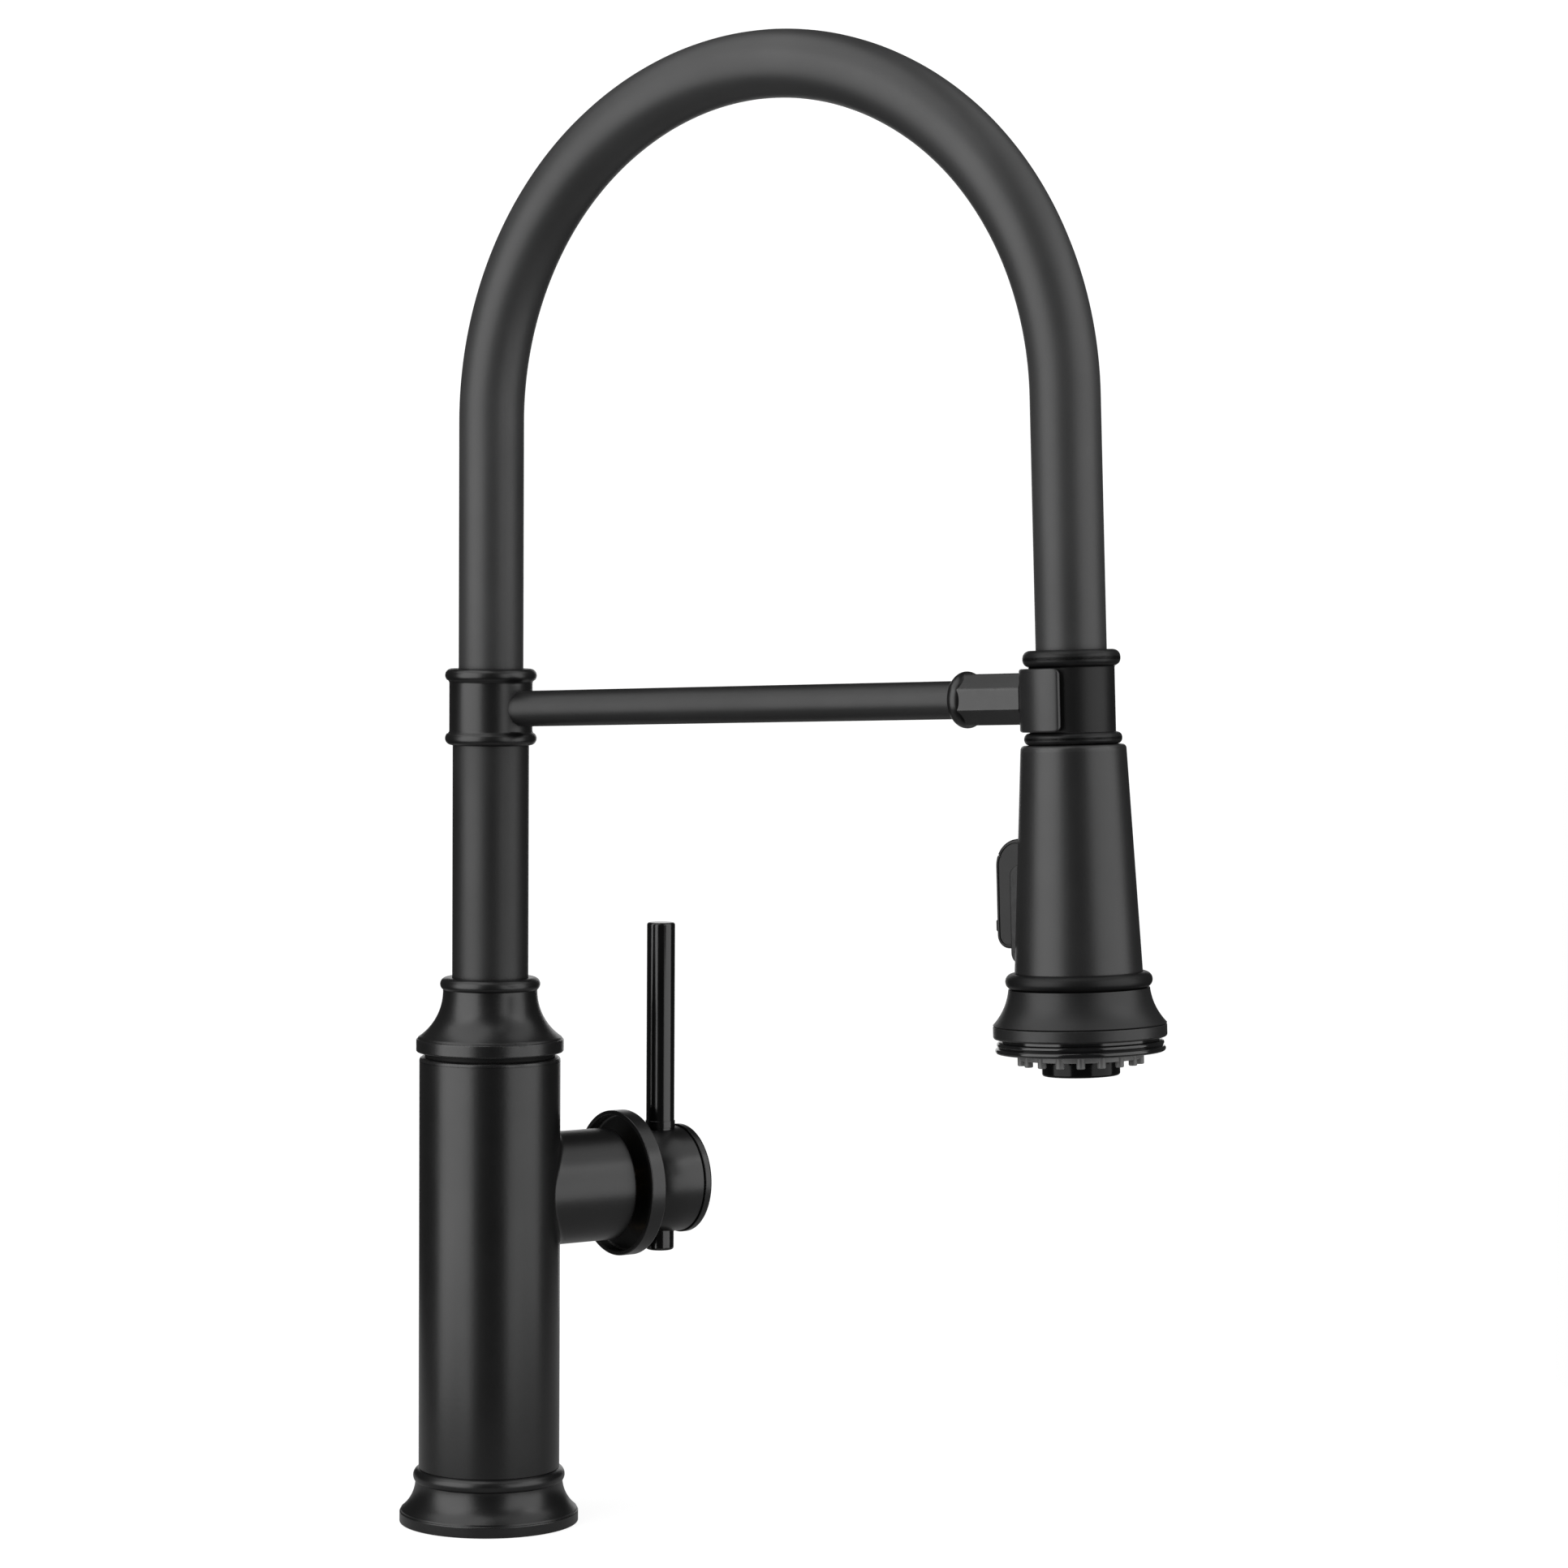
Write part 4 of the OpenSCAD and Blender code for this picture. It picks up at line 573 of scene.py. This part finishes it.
def clip_shape():
    """The clip: a rounded upright section carried round the neck from one free end to the other. The
    section's outer side is at the clip's radius. Its inner side is the bore in the back half, and a
    straight wall in front, at inner_r / |sin a|. Towards the ends the section's height follows the
    corners' rounding and its thickness closes in a half round."""
    outer_r, inner_r, middle, half, corner, edge_r = 16.55, 13.75, -0.55, 9.95, 2.0, 0.75
    wrap, end_turn = math.radians(109), 0.06
    close = np.sin(np.radians(np.linspace(0, 90, 9)))
    a_body = np.linspace(-wrap + end_turn, wrap - end_turn, 97)
    a_end = wrap - end_turn * (1 - close)
    a = np.concatenate([-a_end[::-1], a_body[1:-1], a_end])
    shut = np.concatenate([np.sqrt(1 - close[::-1] ** 2), np.ones(95), np.sqrt(1 - close ** 2)])
    turn = a + math.pi
    bore = np.where(np.cos(turn) > 0, inner_r / np.maximum(np.abs(np.sin(turn)), 0.5), inner_r)
    tip_x = -math.cos(wrap) * outer_r
    past = np.clip(outer_r * np.cos(turn) - (tip_x - corner), 0, corner)
    tall = half - corner + np.sqrt(np.maximum(corner ** 2 - past ** 2, 0))
    thick = (outer_r - bore) * shut
    q = np.radians(np.linspace(0, 90, 6))
    r_edge = np.minimum(edge_r, thick / 2 * 0.98)[:, None]
    soft_u, soft_v = r_edge * np.cos(q), r_edge * np.sin(q)
    u1, v1 = (thick / 2)[:, None] - r_edge, tall[:, None] - r_edge
    u = np.concatenate([u1 + soft_u, -u1 - soft_u[:, ::-1], -u1 - soft_u, u1 + soft_u[:, ::-1]], axis=1)
    v = np.concatenate([v1 + soft_v, v1 + soft_v[:, ::-1], -v1 - soft_v, -v1 - soft_v[:, ::-1]], axis=1)
    u, v = np.column_stack([u, u[:, :1]]), np.column_stack([v, v[:, :1]])
    r = ((outer_r + bore) / 2)[:, None] + u
    edge = np.concatenate([np.sin(2 * q)] * 4 + [[0]])
    return grid_shape(about_axis(r, turn[:, None], middle + v), edge)


clip_plastic = finish("clip_plastic", (0.007, 0.0072), (0.011, 0.0113), (0.025, 0.025),
                      0.38, 0.04, 3000, 8)
make_piece("clip", placed(clip_shape(), *spray_axes), "spout", ["neck_clip"], "clip_plastic",
           clip_plastic)

# ---------- Hose sleeve ----------
# A smooth rubber sleeve over a spring and the water hose. It stands in the ferrule, arches over and
# goes down into the spray's neck. On the faucet it bends when the spray is pulled out of its clip;
# here it is drawn in its resting arch.
arch_foot, arch_low = 279.6, 381.0
side_turn, top_turn = math.radians(54), math.radians(69.8)
side_bend_r, top_bend_r = 113.3, 120.624


def arch_line():
    """The sleeve's middle line as points and directions. It is straight up the column, then three
    arcs whose directions go on from one another: with direction angle b from upright, a step of arc
    moves by radius x (change of -cos b, sin b). It ends straight down the spray's axis."""
    start = points_at(0, 0, np.linspace(arch_foot, arch_low, 24))
    ends = [0, side_turn, side_turn + top_turn, math.pi - tilt]
    bends = (side_bend_r, 41), (top_bend_r, 51), (side_bend_r, 41)
    pieces, directions = [start], [np.zeros(24)]
    for b0, b1, (radius, steps) in zip(ends, ends[1:], bends):
        b = np.linspace(b0, b1, steps)[1:]
        step = points_at(math.cos(b0) - np.cos(b), 0, np.sin(b) - math.sin(b0))
        pieces.append(pieces[-1][-1] + radius * step)
        directions.append(b)
    at = pieces[-1][-1]
    pieces.append(at + np.linspace(0, 1, 24)[1:, None] * (spray_at + 4 * head_up - at))
    directions.append(np.full(23, math.pi - tilt))
    return np.concatenate(pieces), np.concatenate(directions)


def sleeve_shape(outer_r, inner_r, turns=56):
    """A tube round the arch's line: each ring is p + r (cos a N + sin a Y) with N square to the line in
    the arch's plane. The rings go out along the outer skin and back along the inner one."""
    line, b = arch_line()
    normal = points_at(-np.cos(b), 0, np.sin(b))
    line, normal = [np.concatenate([v, v[::-1], v[:1]])[:, None] for v in (line, normal)]
    r = np.concatenate([np.full(len(b), outer_r), np.full(len(b), inner_r), [outer_r]])[:, None, None]
    a = np.linspace(0, 2 * math.pi, turns + 1)[None, :, None]
    return grid_shape(line + r * (np.cos(a) * normal + np.sin(a) * across_way))


sleeve_rubber = finish("sleeve_rubber", (0.019, 0.0191, 0.0193), (0.027, 0.0271, 0.0274), (0.045, 0.045),
                       0.47, 0.035, 1900, 10, cloud=22.0, specks=0.5)
sleeve = make_piece("sleeve", sleeve_shape(11.15, 9.05), None, ["arch_sleeve"], "sleeve_rubber",
                    sleeve_rubber)
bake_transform(sleeve)

# ---------- Spray neck ----------
# The pipe at the hose's end that the clip holds, with a bead above and a bead below it. Turned brass
# with the black coat. Here it takes a duller copy of that coat, with less shine, which paints the
# shade that the clip casts on the neck.
neck_shade_coat = finish("neck_shade_coat", (0.0025, 0.0026), (0.005, 0.0051), (0.016, 0.0163), 0.42, 0.03, 2400, 12,
                   shine=0.24)
neck = rounded_profile([
    (9.5, -14.6, 0), (15.35, -14.6, 1.7), (15.35, -10.8, 1.7), (13.45, -10.8, 0.3), (13.45, 0, 0),
    (13.45, 9.85, 0.5), (15.35, 9.85, 2.2), (15.35, 15.05, 2.4), (11.25, 15.05, 0.4), (11.25, 3.0, 0),
    (9.5, 3.0, 0)])
turned_piece("neck", neck, 128, spray_axes, "hose_end", ["neck_tube"], "matte_black", neck_shade_coat)

# ---------- Spray shell ----------
# The tapered handle, a moulded shell coated to match. On the column's side a window in it takes the
# bezel and the rocker that switches the spray's two modes.
shell_top, shell_len, shell_top_r, shell_low_r, shell_wall = -14.65, 71.3, 16.55, 20.1, 2.2
window_half, window_top, window_low, window_columns = 8.55, -42.25, -83.35, 12


def shell_radius(h):
    """The shell's radius, which grows evenly from its top to its low end."""
    return shell_top_r + (shell_low_r - shell_top_r) * (shell_top - h) / shell_len


def shell_shape():
    """The shell. Angles are laid so that the columns beside the window stay at y = window_half: an
    angle from the column's side is asin(y / r) inside the window, and the rest is shared evenly. Rows
    run from the low rim up the outside, over the rounded top and down the inside."""
    y_columns = np.linspace(-window_half, window_half, window_columns + 1)
    share = np.linspace(0, 1, 97)[1:]
    rim = rounded_profile([(0, 0, 0), (shell_top_r, 0, 1.4), (shell_top_r + 0.4, -8, 0)], closed=False)
    rim = rim[-2:0:-1, :2]
    out_h = np.concatenate([np.linspace(shell_top - shell_len, window_low, 3),
                            np.linspace(window_low, window_top, 31)[1:],
                            np.linspace(window_top, shell_top - 2.0, 17)[1:]])
    inner_top, hole_r = shell_top - shell_wall, 8.6
    r = np.concatenate([shell_radius(out_h), rim[:, 0], [hole_r, hole_r],
                        shell_radius(out_h[::-1]) - shell_wall])
    h = np.concatenate([out_h, shell_top + rim[:, 1], [shell_top, inner_top],
                        np.minimum(out_h[::-1], inner_top)])[:, None]
    inside = np.arcsin(np.clip(y_columns / r[:, None], -0.999, 0.999))
    half_angle = np.arcsin(np.clip(window_half / r, 0, 0.999))[:, None]
    angle = np.concatenate([inside, half_angle + share * (2 * math.pi - 2 * half_angle)], axis=1)
    points = about_axis(-r[:, None], angle, h)
    points = np.concatenate([points, points[:1]])
    ids = numbered(points)
    low, top = 2, 32
    back_low, back_top = len(r) - 1 - low, len(r) - 1 - top
    keep = np.ones((ids.shape[0] - 1, ids.shape[1] - 1), bool)
    keep[low:top, :window_columns] = keep[back_top:back_low, :window_columns] = False
    front, back = [v[:, :window_columns + 1] for v in (ids[low:top + 1], ids[back_low:back_top - 1:-1])]
    walls = [grid_faces(np.stack(pair)) for pair in (
        (front[:, 0], back[:, 0]), (back[:, -1], front[:, -1]),
        (back[0], front[0]), (front[-1], back[-1]))]
    faces = np.concatenate([grid_faces(ids)[keep.reshape(-1), ::-1], *walls])
    edge = np.zeros(points.shape[:2])
    edge[len(out_h):len(out_h) + len(rim)] = 1
    return points.reshape(-1, 3), faces, edge.reshape(-1)


head_coat = finish("head_coat", (0.0065, 0.0067), (0.011, 0.0112), (0.028, 0.028), 0.38, 0.03, 2600, 10)
make_piece("shell", placed(shell_shape(), *spray_axes), "spray", ["head_shell"], "spray_plastic",
           head_coat)

# ---------- Bezel and rocker ----------
# The moulded bezel fills the shell's window: flush above, a raised block with rounded ends below. The
# rocker lies in its pocket on a pin, and tips to each side to switch the spray.
bezel_back, bezel_face_d, bezel_round, pocket_floor = 12.0, 19.9, 3.5, 14.4
block_top, block_low, bezel_wall = -55.7, -79.8, 7.7
rocker_back, rocker_top, rocker_low, rocker_face = 15.8, -43.9, -78.5, 25.7
rocker_half, rocker_low_round, rocker_top_round = 7.4, 4.2, 8.6
skin_half, skin_deep = 5.8, 1.8


def there_and_back(parts, *middle):
    """The parts as one list of values, then its middle and the same list backwards."""
    half = np.concatenate(parts)
    return np.concatenate([half, middle, half[::-1]])


def bezel_shape():
    """The bezel as a depth over side y and height h. Outside the pocket it is the greater of the
    shell's own depth, sqrt(R(h)^2 - y^2), and the block's: flat, with quarter rounds of bezel_round at
    its ends, and less s (1 - cos t) towards its sides, with s 0.8 on the block and 0.3 elsewhere. In
    the pocket it is the floor. The border and the second half of the grid lie on the back plane."""
    t = np.radians(np.linspace(90, 0, 5))
    y_side = np.concatenate([[8.5], bezel_wall + 0.02 + 0.78 * np.sin(t), [bezel_wall, bezel_wall]])
    y = np.concatenate([-y_side, [-3, 0, 3], y_side[::-1]])[:, None]
    less = there_and_back([[0], 1 - np.cos(t), [0, 0]], 0, 0, 0)[:, None]
    quarter = bezel_round * np.sin(np.radians(np.linspace(90, 0, 10)))
    h = np.concatenate([[-42.3, -42.3, -43.0, -43.0, -46, -49], block_top + quarter, [-62, -70],
                        [block_low, block_low], block_low - quarter[-2::-1], [-83.3]])
    past = np.maximum(h - block_top, block_low - h)
    block = np.sqrt(np.clip(bezel_round ** 2 - np.maximum(past, 0) ** 2, 0, None))
    block = np.where(past <= bezel_round + 1e-6, bezel_face_d - bezel_round + block, 0)
    drop = less * np.where(block > 0, 0.8, 0.3)
    depth = np.maximum(np.sqrt(shell_radius(h) ** 2 - y ** 2), block) - drop
    depth[7:-7, 3:19] = pocket_floor
    depth[[0, -1]] = bezel_back
    depth[:, [0, -1]] = bezel_back
    front, back = points_at(-depth, y, h), points_at(-bezel_back, y, h)
    # The block's rounded sides take the full edge value, so the edge mask paints them paler: rubbed wear
    # and a painted highlight.
    worn_or_sheen = np.where((less > 0) & (block > bezel_face_d - 3), 1.0, 0.0)
    return joined(grid_shape(front, worn_or_sheen), grid_shape(back, flip=True))


def rocker_shape():
    """The rocker as a hollow cap. The side outline's points P with normals N are drawn in by e, to
    P - e N, while the side y goes round the face from wall to wall: y = rocker_half - 1 + sin t and
    e = 1 - cos t, then a fine line 0.4 deep. The walls run straight to the back plane. The face has a
    ridge 0.5 high and a notch above. The same grid at skin_half and skin_deep is the inside."""
    a = np.concatenate([np.linspace(90, 30, 12), np.linspace(28, 21.5, 9), np.linspace(19, 0, 5)])
    notch = 0.45 * np.exp(-((a - 24.7) / 1.5) ** 2)
    straight = [-56.0, -62, -68, -69.4, -69.62, -69.75, -69.95, -72.65, -72.85, -72.98, -73.2, -73.9]
    ridge = np.concatenate([np.zeros(len(a) + 4), [0, 0.22, 0.44, 0.5, 0.5, 0.44, 0.22, 0], np.zeros(14)])
    a, b = np.radians(a), np.radians(np.linspace(0, -90, 12))
    upper, lower = points_at(np.cos(a), np.sin(a)), points_at(np.cos(b), np.sin(b))
    top_centre = [rocker_face - rocker_top_round, rocker_top - rocker_top_round]
    low_centre = [rocker_face - rocker_low_round, rocker_low + rocker_low_round]
    line = np.concatenate([
        [[rocker_back, rocker_top]], top_centre + (rocker_top_round - notch)[:, None] * upper,
        points_at(rocker_face, straight), low_centre + rocker_low_round * lower,
        [[rocker_back, rocker_low]]])
    way = np.concatenate([[[0, 1]], upper, np.tile([1, 0], (len(straight), 1)), lower, [[0, -1]]])
    t = np.radians(np.linspace(90, 0, 9))
    y_side = np.concatenate([[rocker_half, rocker_half, 7.0, 7.0, rocker_half],
                             rocker_half - 1 + np.sin(t), [6.3, 6.0, 5.8, 5.6]])
    y = np.concatenate([-y_side, [0], y_side[::-1]])
    e = there_and_back([[1.6, 1.55, 1.45, 1.17, 1.05], 1 - np.cos(t), [0, 0, 0, 0]], 0)
    tall = there_and_back([np.zeros(5), np.cos(t) ** 0.5, np.ones(4)], 1)
    skins = []
    inside = (np.clip(y, -skin_half, skin_half), 0 * e + skin_deep, 0 * tall)
    for side, inwards, high in ((y, e, tall), inside):
        grid = line - inwards[:, None, None] * way
        grid[..., 0] += high[:, None] * ridge
        grid[[0, -1], :, 0] = rocker_back
        skins.append(points_at(-grid[..., 0], side[:, None], grid[..., 1]))
    ids = numbered(skins[0])
    loop = np.concatenate([ids[0, :-1], ids[:-1, -1], ids[-1, :0:-1], ids[::-1, 0]])
    edge = np.zeros(ids.shape)
    # Painted highlight with some wear: the rounding round the face and the ridge's lower edge get high
    # edge values, so the edge mask paints them paler.
    edge[4:14] = edge[-14:-4] = 0.8
    edge[10:-10, 35:44] = 0.7
    points, faces, edge = joined(grid_shape(skins[0], edge), grid_shape(skins[1], flip=True))
    rim = grid_faces(np.stack([loop, loop + ids.size]))[:, ::-1]
    return points, np.concatenate([faces, rim]), edge


rocker_coat = finish("rocker_coat", (0.005, 0.0051), (0.009, 0.0091), (0.03, 0.03), 0.48, 0.03, 2600, 10,
                     shine=0.3)
make_piece("bezel", placed(bezel_shape(), *spray_axes), "spray", ["rocker_bezel"], "spray_plastic",
           rocker_coat)
make_piece("rocker_skin", placed(rocker_shape(), *spray_axes), "rocker", ["rocker"], "spray_plastic",
           rocker_coat)

# ---------- Spray's bead ring, bell skirt and plate ----------
# Under the shell comes a round bead and then a skirt that flares like a bell, both coated to match. The
# plate that closes the skirt from below is the same plastic.
bead_ring = rounded_profile([
    (16.4, -91.05, 0.1), (20.55, -91.05, 0), arc(20.55, -88.5, 2.55, -90, 90, 22), (16.4, -85.95, 0.1)])
# The bead ring takes the neck's duller coat too, so it renders darker than the shell.
turned_piece("bead_ring", bead_ring, 160, spray_axes, "spray", ["head_bead_ring"],
             "spray_plastic", neck_shade_coat)

skirt_coat = finish("skirt_coat", (0.0055, 0.0057), (0.0095, 0.0097), (0.026, 0.026),
                    0.40, 0.03, 2600, 10, shine=0.38)
skirt = rounded_profile([
    (24.9, -106.45, 0.15), (27.3, -106.45, 0.8), (27.3, -102.1, 0.3),
    arc(41.1, -89.05, 19, 223.4, 186.04, 24), (16.4, -91.05, 0.1), (16.4, -93.45, 0), (19.7, -93.45, 0),
    (19.7, -102.85, 0), (24.9, -102.85, 0)])
turned_piece("skirt", skirt, 176, spray_axes, "spray", ["bell_skirt"], "spray_plastic", skirt_coat)

# ---------- Spray face ----------
# A gloss black ring with two bands holds the plate. The grey rubber mat has a ring of nozzles that the
# thumb can rub clean, and the gloss housing of the aerator stands in the middle.
gloss_black = finish("gloss_black", (0.0045, 0.0048), (0.008, 0.0083), (0.02, 0.02), 0.13, 0.03, 500, 1.5,
                     wear_sheen_amount=0.3, cloud=60.0, specks=0.2)
nozzle_rubber = finish("nozzle_rubber", (0.10, 0.10), (0.145, 0.143), (0.19, 0.19), 0.5, 0.05, 2600, 10,
                       cloud=90.0)
deep_black = finish("deep_black", (0.002, 0.0021), (0.004, 0.0041), (0.012, 0.012), 0.16, 0.03, 500, 1.5,
                    wear_sheen_amount=0.3, cloud=60.0, specks=0.2, shine=0.14)

face_ring = rounded_profile([
    (23.45, -111.05, 0.15), (25.8, -111.05, 0), arc(25.875, -110.125, 0.925, -84, 82, 12),
    (25.88, -109.12, 0), arc(25.375, -108.275, 0.925, -54, 90, 12), (24.85, -107.35, 0),
    (24.85, -102.85, 0), (23.45, -102.85, 0)])
turned_piece("face_bands", face_ring, 160, spray_axes, "spray", ["face_ring"], "gloss_black", gloss_black)

nozzle_circle_r, nozzle_count = 18.7, 18
mat_band, mat_collar, nozzle = [rounded_profile(corners) for corners in (
    [(16.1, -110.25, 0.2), (20.9, -110.25, 0.2), (20.9, -107.65, 0), (16.1, -107.65, 0)],
    [(17.5, -113.05, 0.3), (19.6, -113.05, 0.3), (19.6, -109.6, 0), (17.5, -109.6, 0)],
    [(0.5, -114.85, 0.12), (1.35, -114.85, 0.4), (1.35, -113.3, 0), (1.35, -108.2, 0), (0.5, -108.2, 0)])]
nozzle_turns = np.radians(3 + 360 / nozzle_count * np.arange(nozzle_count))
nozzles = [placed(lathe(nozzle, 24), at, *np.eye(3))
           for at in about_axis(nozzle_circle_r, nozzle_turns, 0)]
make_piece("nozzles", placed(joined(lathe(mat_band, 128), lathe(mat_collar, 128), *nozzles), *spray_axes),
           "spray", ["nozzle_mat"], "nozzle_rubber", nozzle_rubber)

aerator = rounded_profile([
    (9.7, -118.35, 0.25), (12.3, -118.35, 0.8), (12.3, -110.25, 0.2), (11.3, -110.25, 0),
    (11.3, -106.05, 0), (10.1, -106.05, 0), (10.1, -117.15, 0), (9.7, -117.15, 0)])
turned_piece("aerator", aerator, 112, spray_axes, "spray", ["aerator_housing"], "gloss_black", deep_black)

# ---------- Lever ----------
# A shallow dish covers the housing's end. The hub bulges behind it, a cap closes it, and a long round
# rod goes down through it. Turned brass; the rod is drawn steel, and its coat lies smoother.
valve_at = np.array([0, 0, valve_z])
valve_axes = (valve_at, valve_side, upright, valve_out)
rod_coat = finish("rod_coat", (0.001, 0.0011), (0.003, 0.0031), (0.016, 0.016), 0.17, 0.02, 900, 0.4,
                  wear_sheen_amount=0.2)

dish = rounded_profile([
    (24.1, 50.8, 0.15), (25.6, 50.8, 0.35), (25.6, 56.5, 0.6), (6.5, 56.5, 0), (6.5, 55.0, 0),
    (24.1, 55.0, 0.8)])
turned_piece("dish", dish, 144, valve_axes, "lever", ["lever_dish"], "matte_black", black_coat)

hub_dome = (arc(0, 0, 1, -88, 0, 26) * [9.0, 15.5, 0]) + [9.7, 72.0, 0]
hub = rounded_profile([
    (0, 56.5, 0), (9.3, 56.5, 0), hub_dome, (18.7, 76.7, 0.25), (15, 76.7, 0), (15, 75.9, 0),
    (0, 75.9, 0)], closed=False)
hub_piece = turned_piece("hub", hub, 144, valve_axes, "lever", ["lever_hub"], "matte_black", black_coat)

cap = rounded_profile([
    (0, 76.0, 0), (14.9, 76.0, 0), (14.9, 76.75, 0), (18.2, 76.75, 0), (18.2, 77.1, 0),
    (19.2, 77.1, 0.25), (19.2, 79.9, 1.0), (0, 79.9, 0)], closed=False)
turned_piece("cap", cap, 144, valve_axes, "lever", ["lever_end_cap"], "matte_black", black_coat)

rod_r, rod_low, rod_top, rod_step_r = 5, -25, 91.5, 5.25
lever_rod = rounded_profile([
    (0, rod_low, 0), (rod_r, rod_low, 0.9), (rod_r, 10, 0), (rod_r, 18.7, 0), (rod_step_r, 18.7, 0.1),
    (rod_step_r, 21.1, 0.1), (rod_r, 21.1, 0), (rod_r, 60, 0), (rod_r, rod_top, 0.9), (0, rod_top, 0)],
    closed=False)
rod_axes = (70.1 * valve_out + valve_at, valve_side, -valve_out, upright)
turned_piece("rod", lever_rod, 96, rod_axes, "lever", ["lever_rod"], "matte_black", rod_coat)

# ---------- Grub screw holes ----------
# A hole in the back of the bell collar and one under the hub, for the key that loosens them.
key_hole_r = 1.55


def drilled(piece, start, end, radius, crease=38):
    """Takes a round hole of that radius from start to end, in millimetres, out of a piece."""
    start, end = np.array(start, float), np.array(end, float)
    length = np.linalg.norm(end - start)
    z_way = unit(end - start)
    x_way = unit(np.cross(z_way, [0.3, 0.5, 0.8]))
    plug = rounded_profile([(0, 0, 0), (radius, 0, 0), (radius, length, 0), (0, length, 0)], closed=False)
    mesh = mesh_of("cutter", placed(lathe(plug, 32), start, x_way, np.cross(z_way, x_way), z_way))
    cutter = new_object("cutter", mesh)
    cut = piece.modifiers.new("hole", "BOOLEAN")
    cut.object, cut.operation, cut.solver = cutter, "DIFFERENCE", "EXACT"
    whole = bpy.data.meshes.new_from_object(piece.evaluated_get(bpy.context.evaluated_depsgraph_get()))
    piece.modifiers.clear()
    old, piece.data = piece.data, whole
    bpy.data.meshes.remove(old)
    bpy.data.objects.remove(cutter)
    bpy.data.meshes.remove(mesh)
    whole.set_sharp_from_angle(angle=math.radians(crease))


drilled(collar_piece, [-30, 0, 180.1], [-13, 0, 180.1], key_hole_r)
under_hub = 59.5 * valve_out + valve_at
drilled(hub_piece, under_hub - 25 * upright, under_hub - 6 * upright, key_hole_r)

# ---------- Inside the sleeve ----------
# A coil of spring steel keeps the sleeve round, and the water hose runs through the middle of it. On
# the faucet both bend with the sleeve; here they follow its resting arch.
hose_rubber = finish("hose_rubber", (0.014, 0.014), (0.022, 0.022), (0.04, 0.04), 0.55, 0.06, 1800, 10)
steel = finish("steel", (0.42, 0.43), (0.56, 0.57), (0.7, 0.7), 0.26, 0.06, 900, 3, metal=1.0,
               cloud=120.0)
hose = make_piece("hose", sleeve_shape(6.6, 4.4, 40), None, ["water_hose"], "hose_rubber", hose_rubber)
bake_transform(hose)


def coil_shape(coil_r, wire_r, pitch, sides=6, per_turn=14, end_gap=0.8):
    """A wire wound round the arch's line: its middle is p + R (cos w N + sin w Y) with w growing by a
    turn for each pitch along the line, and its skin lies wire_r further in the plane of that spoke and
    the line's own direction."""
    line, b = arch_line()
    along_line = np.concatenate([[0], np.cumsum(np.linalg.norm(np.diff(line, axis=0), axis=1))])
    s = np.arange(end_gap, along_line[-1] - end_gap, pitch / per_turn)
    p = np.stack([np.interp(s, along_line, line[:, k]) for k in range(3)], axis=1)
    turn = np.interp(s, along_line, b)
    normal = points_at(-np.cos(turn), 0, np.sin(turn))
    onward = points_at(np.sin(turn), 0, np.cos(turn))[:, None]
    w = (2 * math.pi * s / pitch)[:, None]
    spoke = np.cos(w) * normal + np.sin(w) * across_way
    middle = (p + coil_r * spoke)[:, None]
    c = np.linspace(0, 2 * math.pi, sides + 1)[None, :, None]
    skin = middle + wire_r * (np.cos(c) * spoke[:, None] + np.sin(c) * onward)
    first, last = [middle[k] + 0 * skin[:1] for k in (0, -1)]
    return grid_shape(np.concatenate([first, skin, last]), flip=True)


coil = make_piece("coil", coil_shape(8.3, 0.58, 2.3), None, ["arch_spring"], "steel", steel, crease=80)
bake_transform(coil)

# ---------- Ring in the groove, seals and inner pieces ----------
# What is left is mostly hidden: the black ring between body and collar, rubber seals, brass waterways,
# the ceramic cartridge, and the white core of the spray. Each keeps its CAD shape and gets its finish.
for name, *colours, look, more in (
        ("seal_rubber", (0.004, 0.004), (0.008, 0.008), (0.02, 0.02), (0.55, 0.06, 2000, 8),
         {"shine": 0.12}),
        ("brass", (0.55, 0.36, 0.14), (0.68, 0.47, 0.20), (0.8, 0.6, 0.3), (0.32, 0.07, 1200, 6),
         {"metal": 1.0, "cloud": 70.0}),
        ("white_plastic", (0.68, 0.66), (0.78, 0.76), (0.85, 0.83), (0.42, 0.05, 1600, 6), {}),
        ("blue_plastic", (0.03, 0.10, 0.30), (0.045, 0.14, 0.38), (0.1, 0.2, 0.45), (0.4, 0.05, 1600, 6),
         {}),
        ("aerator_plastic", (0.035, 0.036), (0.06, 0.061), (0.09, 0.09), (0.45, 0.05, 2200, 6), {}),
        ("ceramic", (0.70, 0.69, 0.66), (0.80, 0.79, 0.76), (0.85, 0.82), (0.15, 0.03, 700, 2),
         {"cloud": 80.0})):
    finish(name, *colours, *look, **more)
finishes.update(matte_black=black_coat, spray_plastic=head_coat)
for subpart in frame["record"]["subparts"]:
    node = frame["nodes"][subpart["node"]]
    node.data.materials.clear()
    node.data.materials.append(finishes[subpart["material_slot"]])
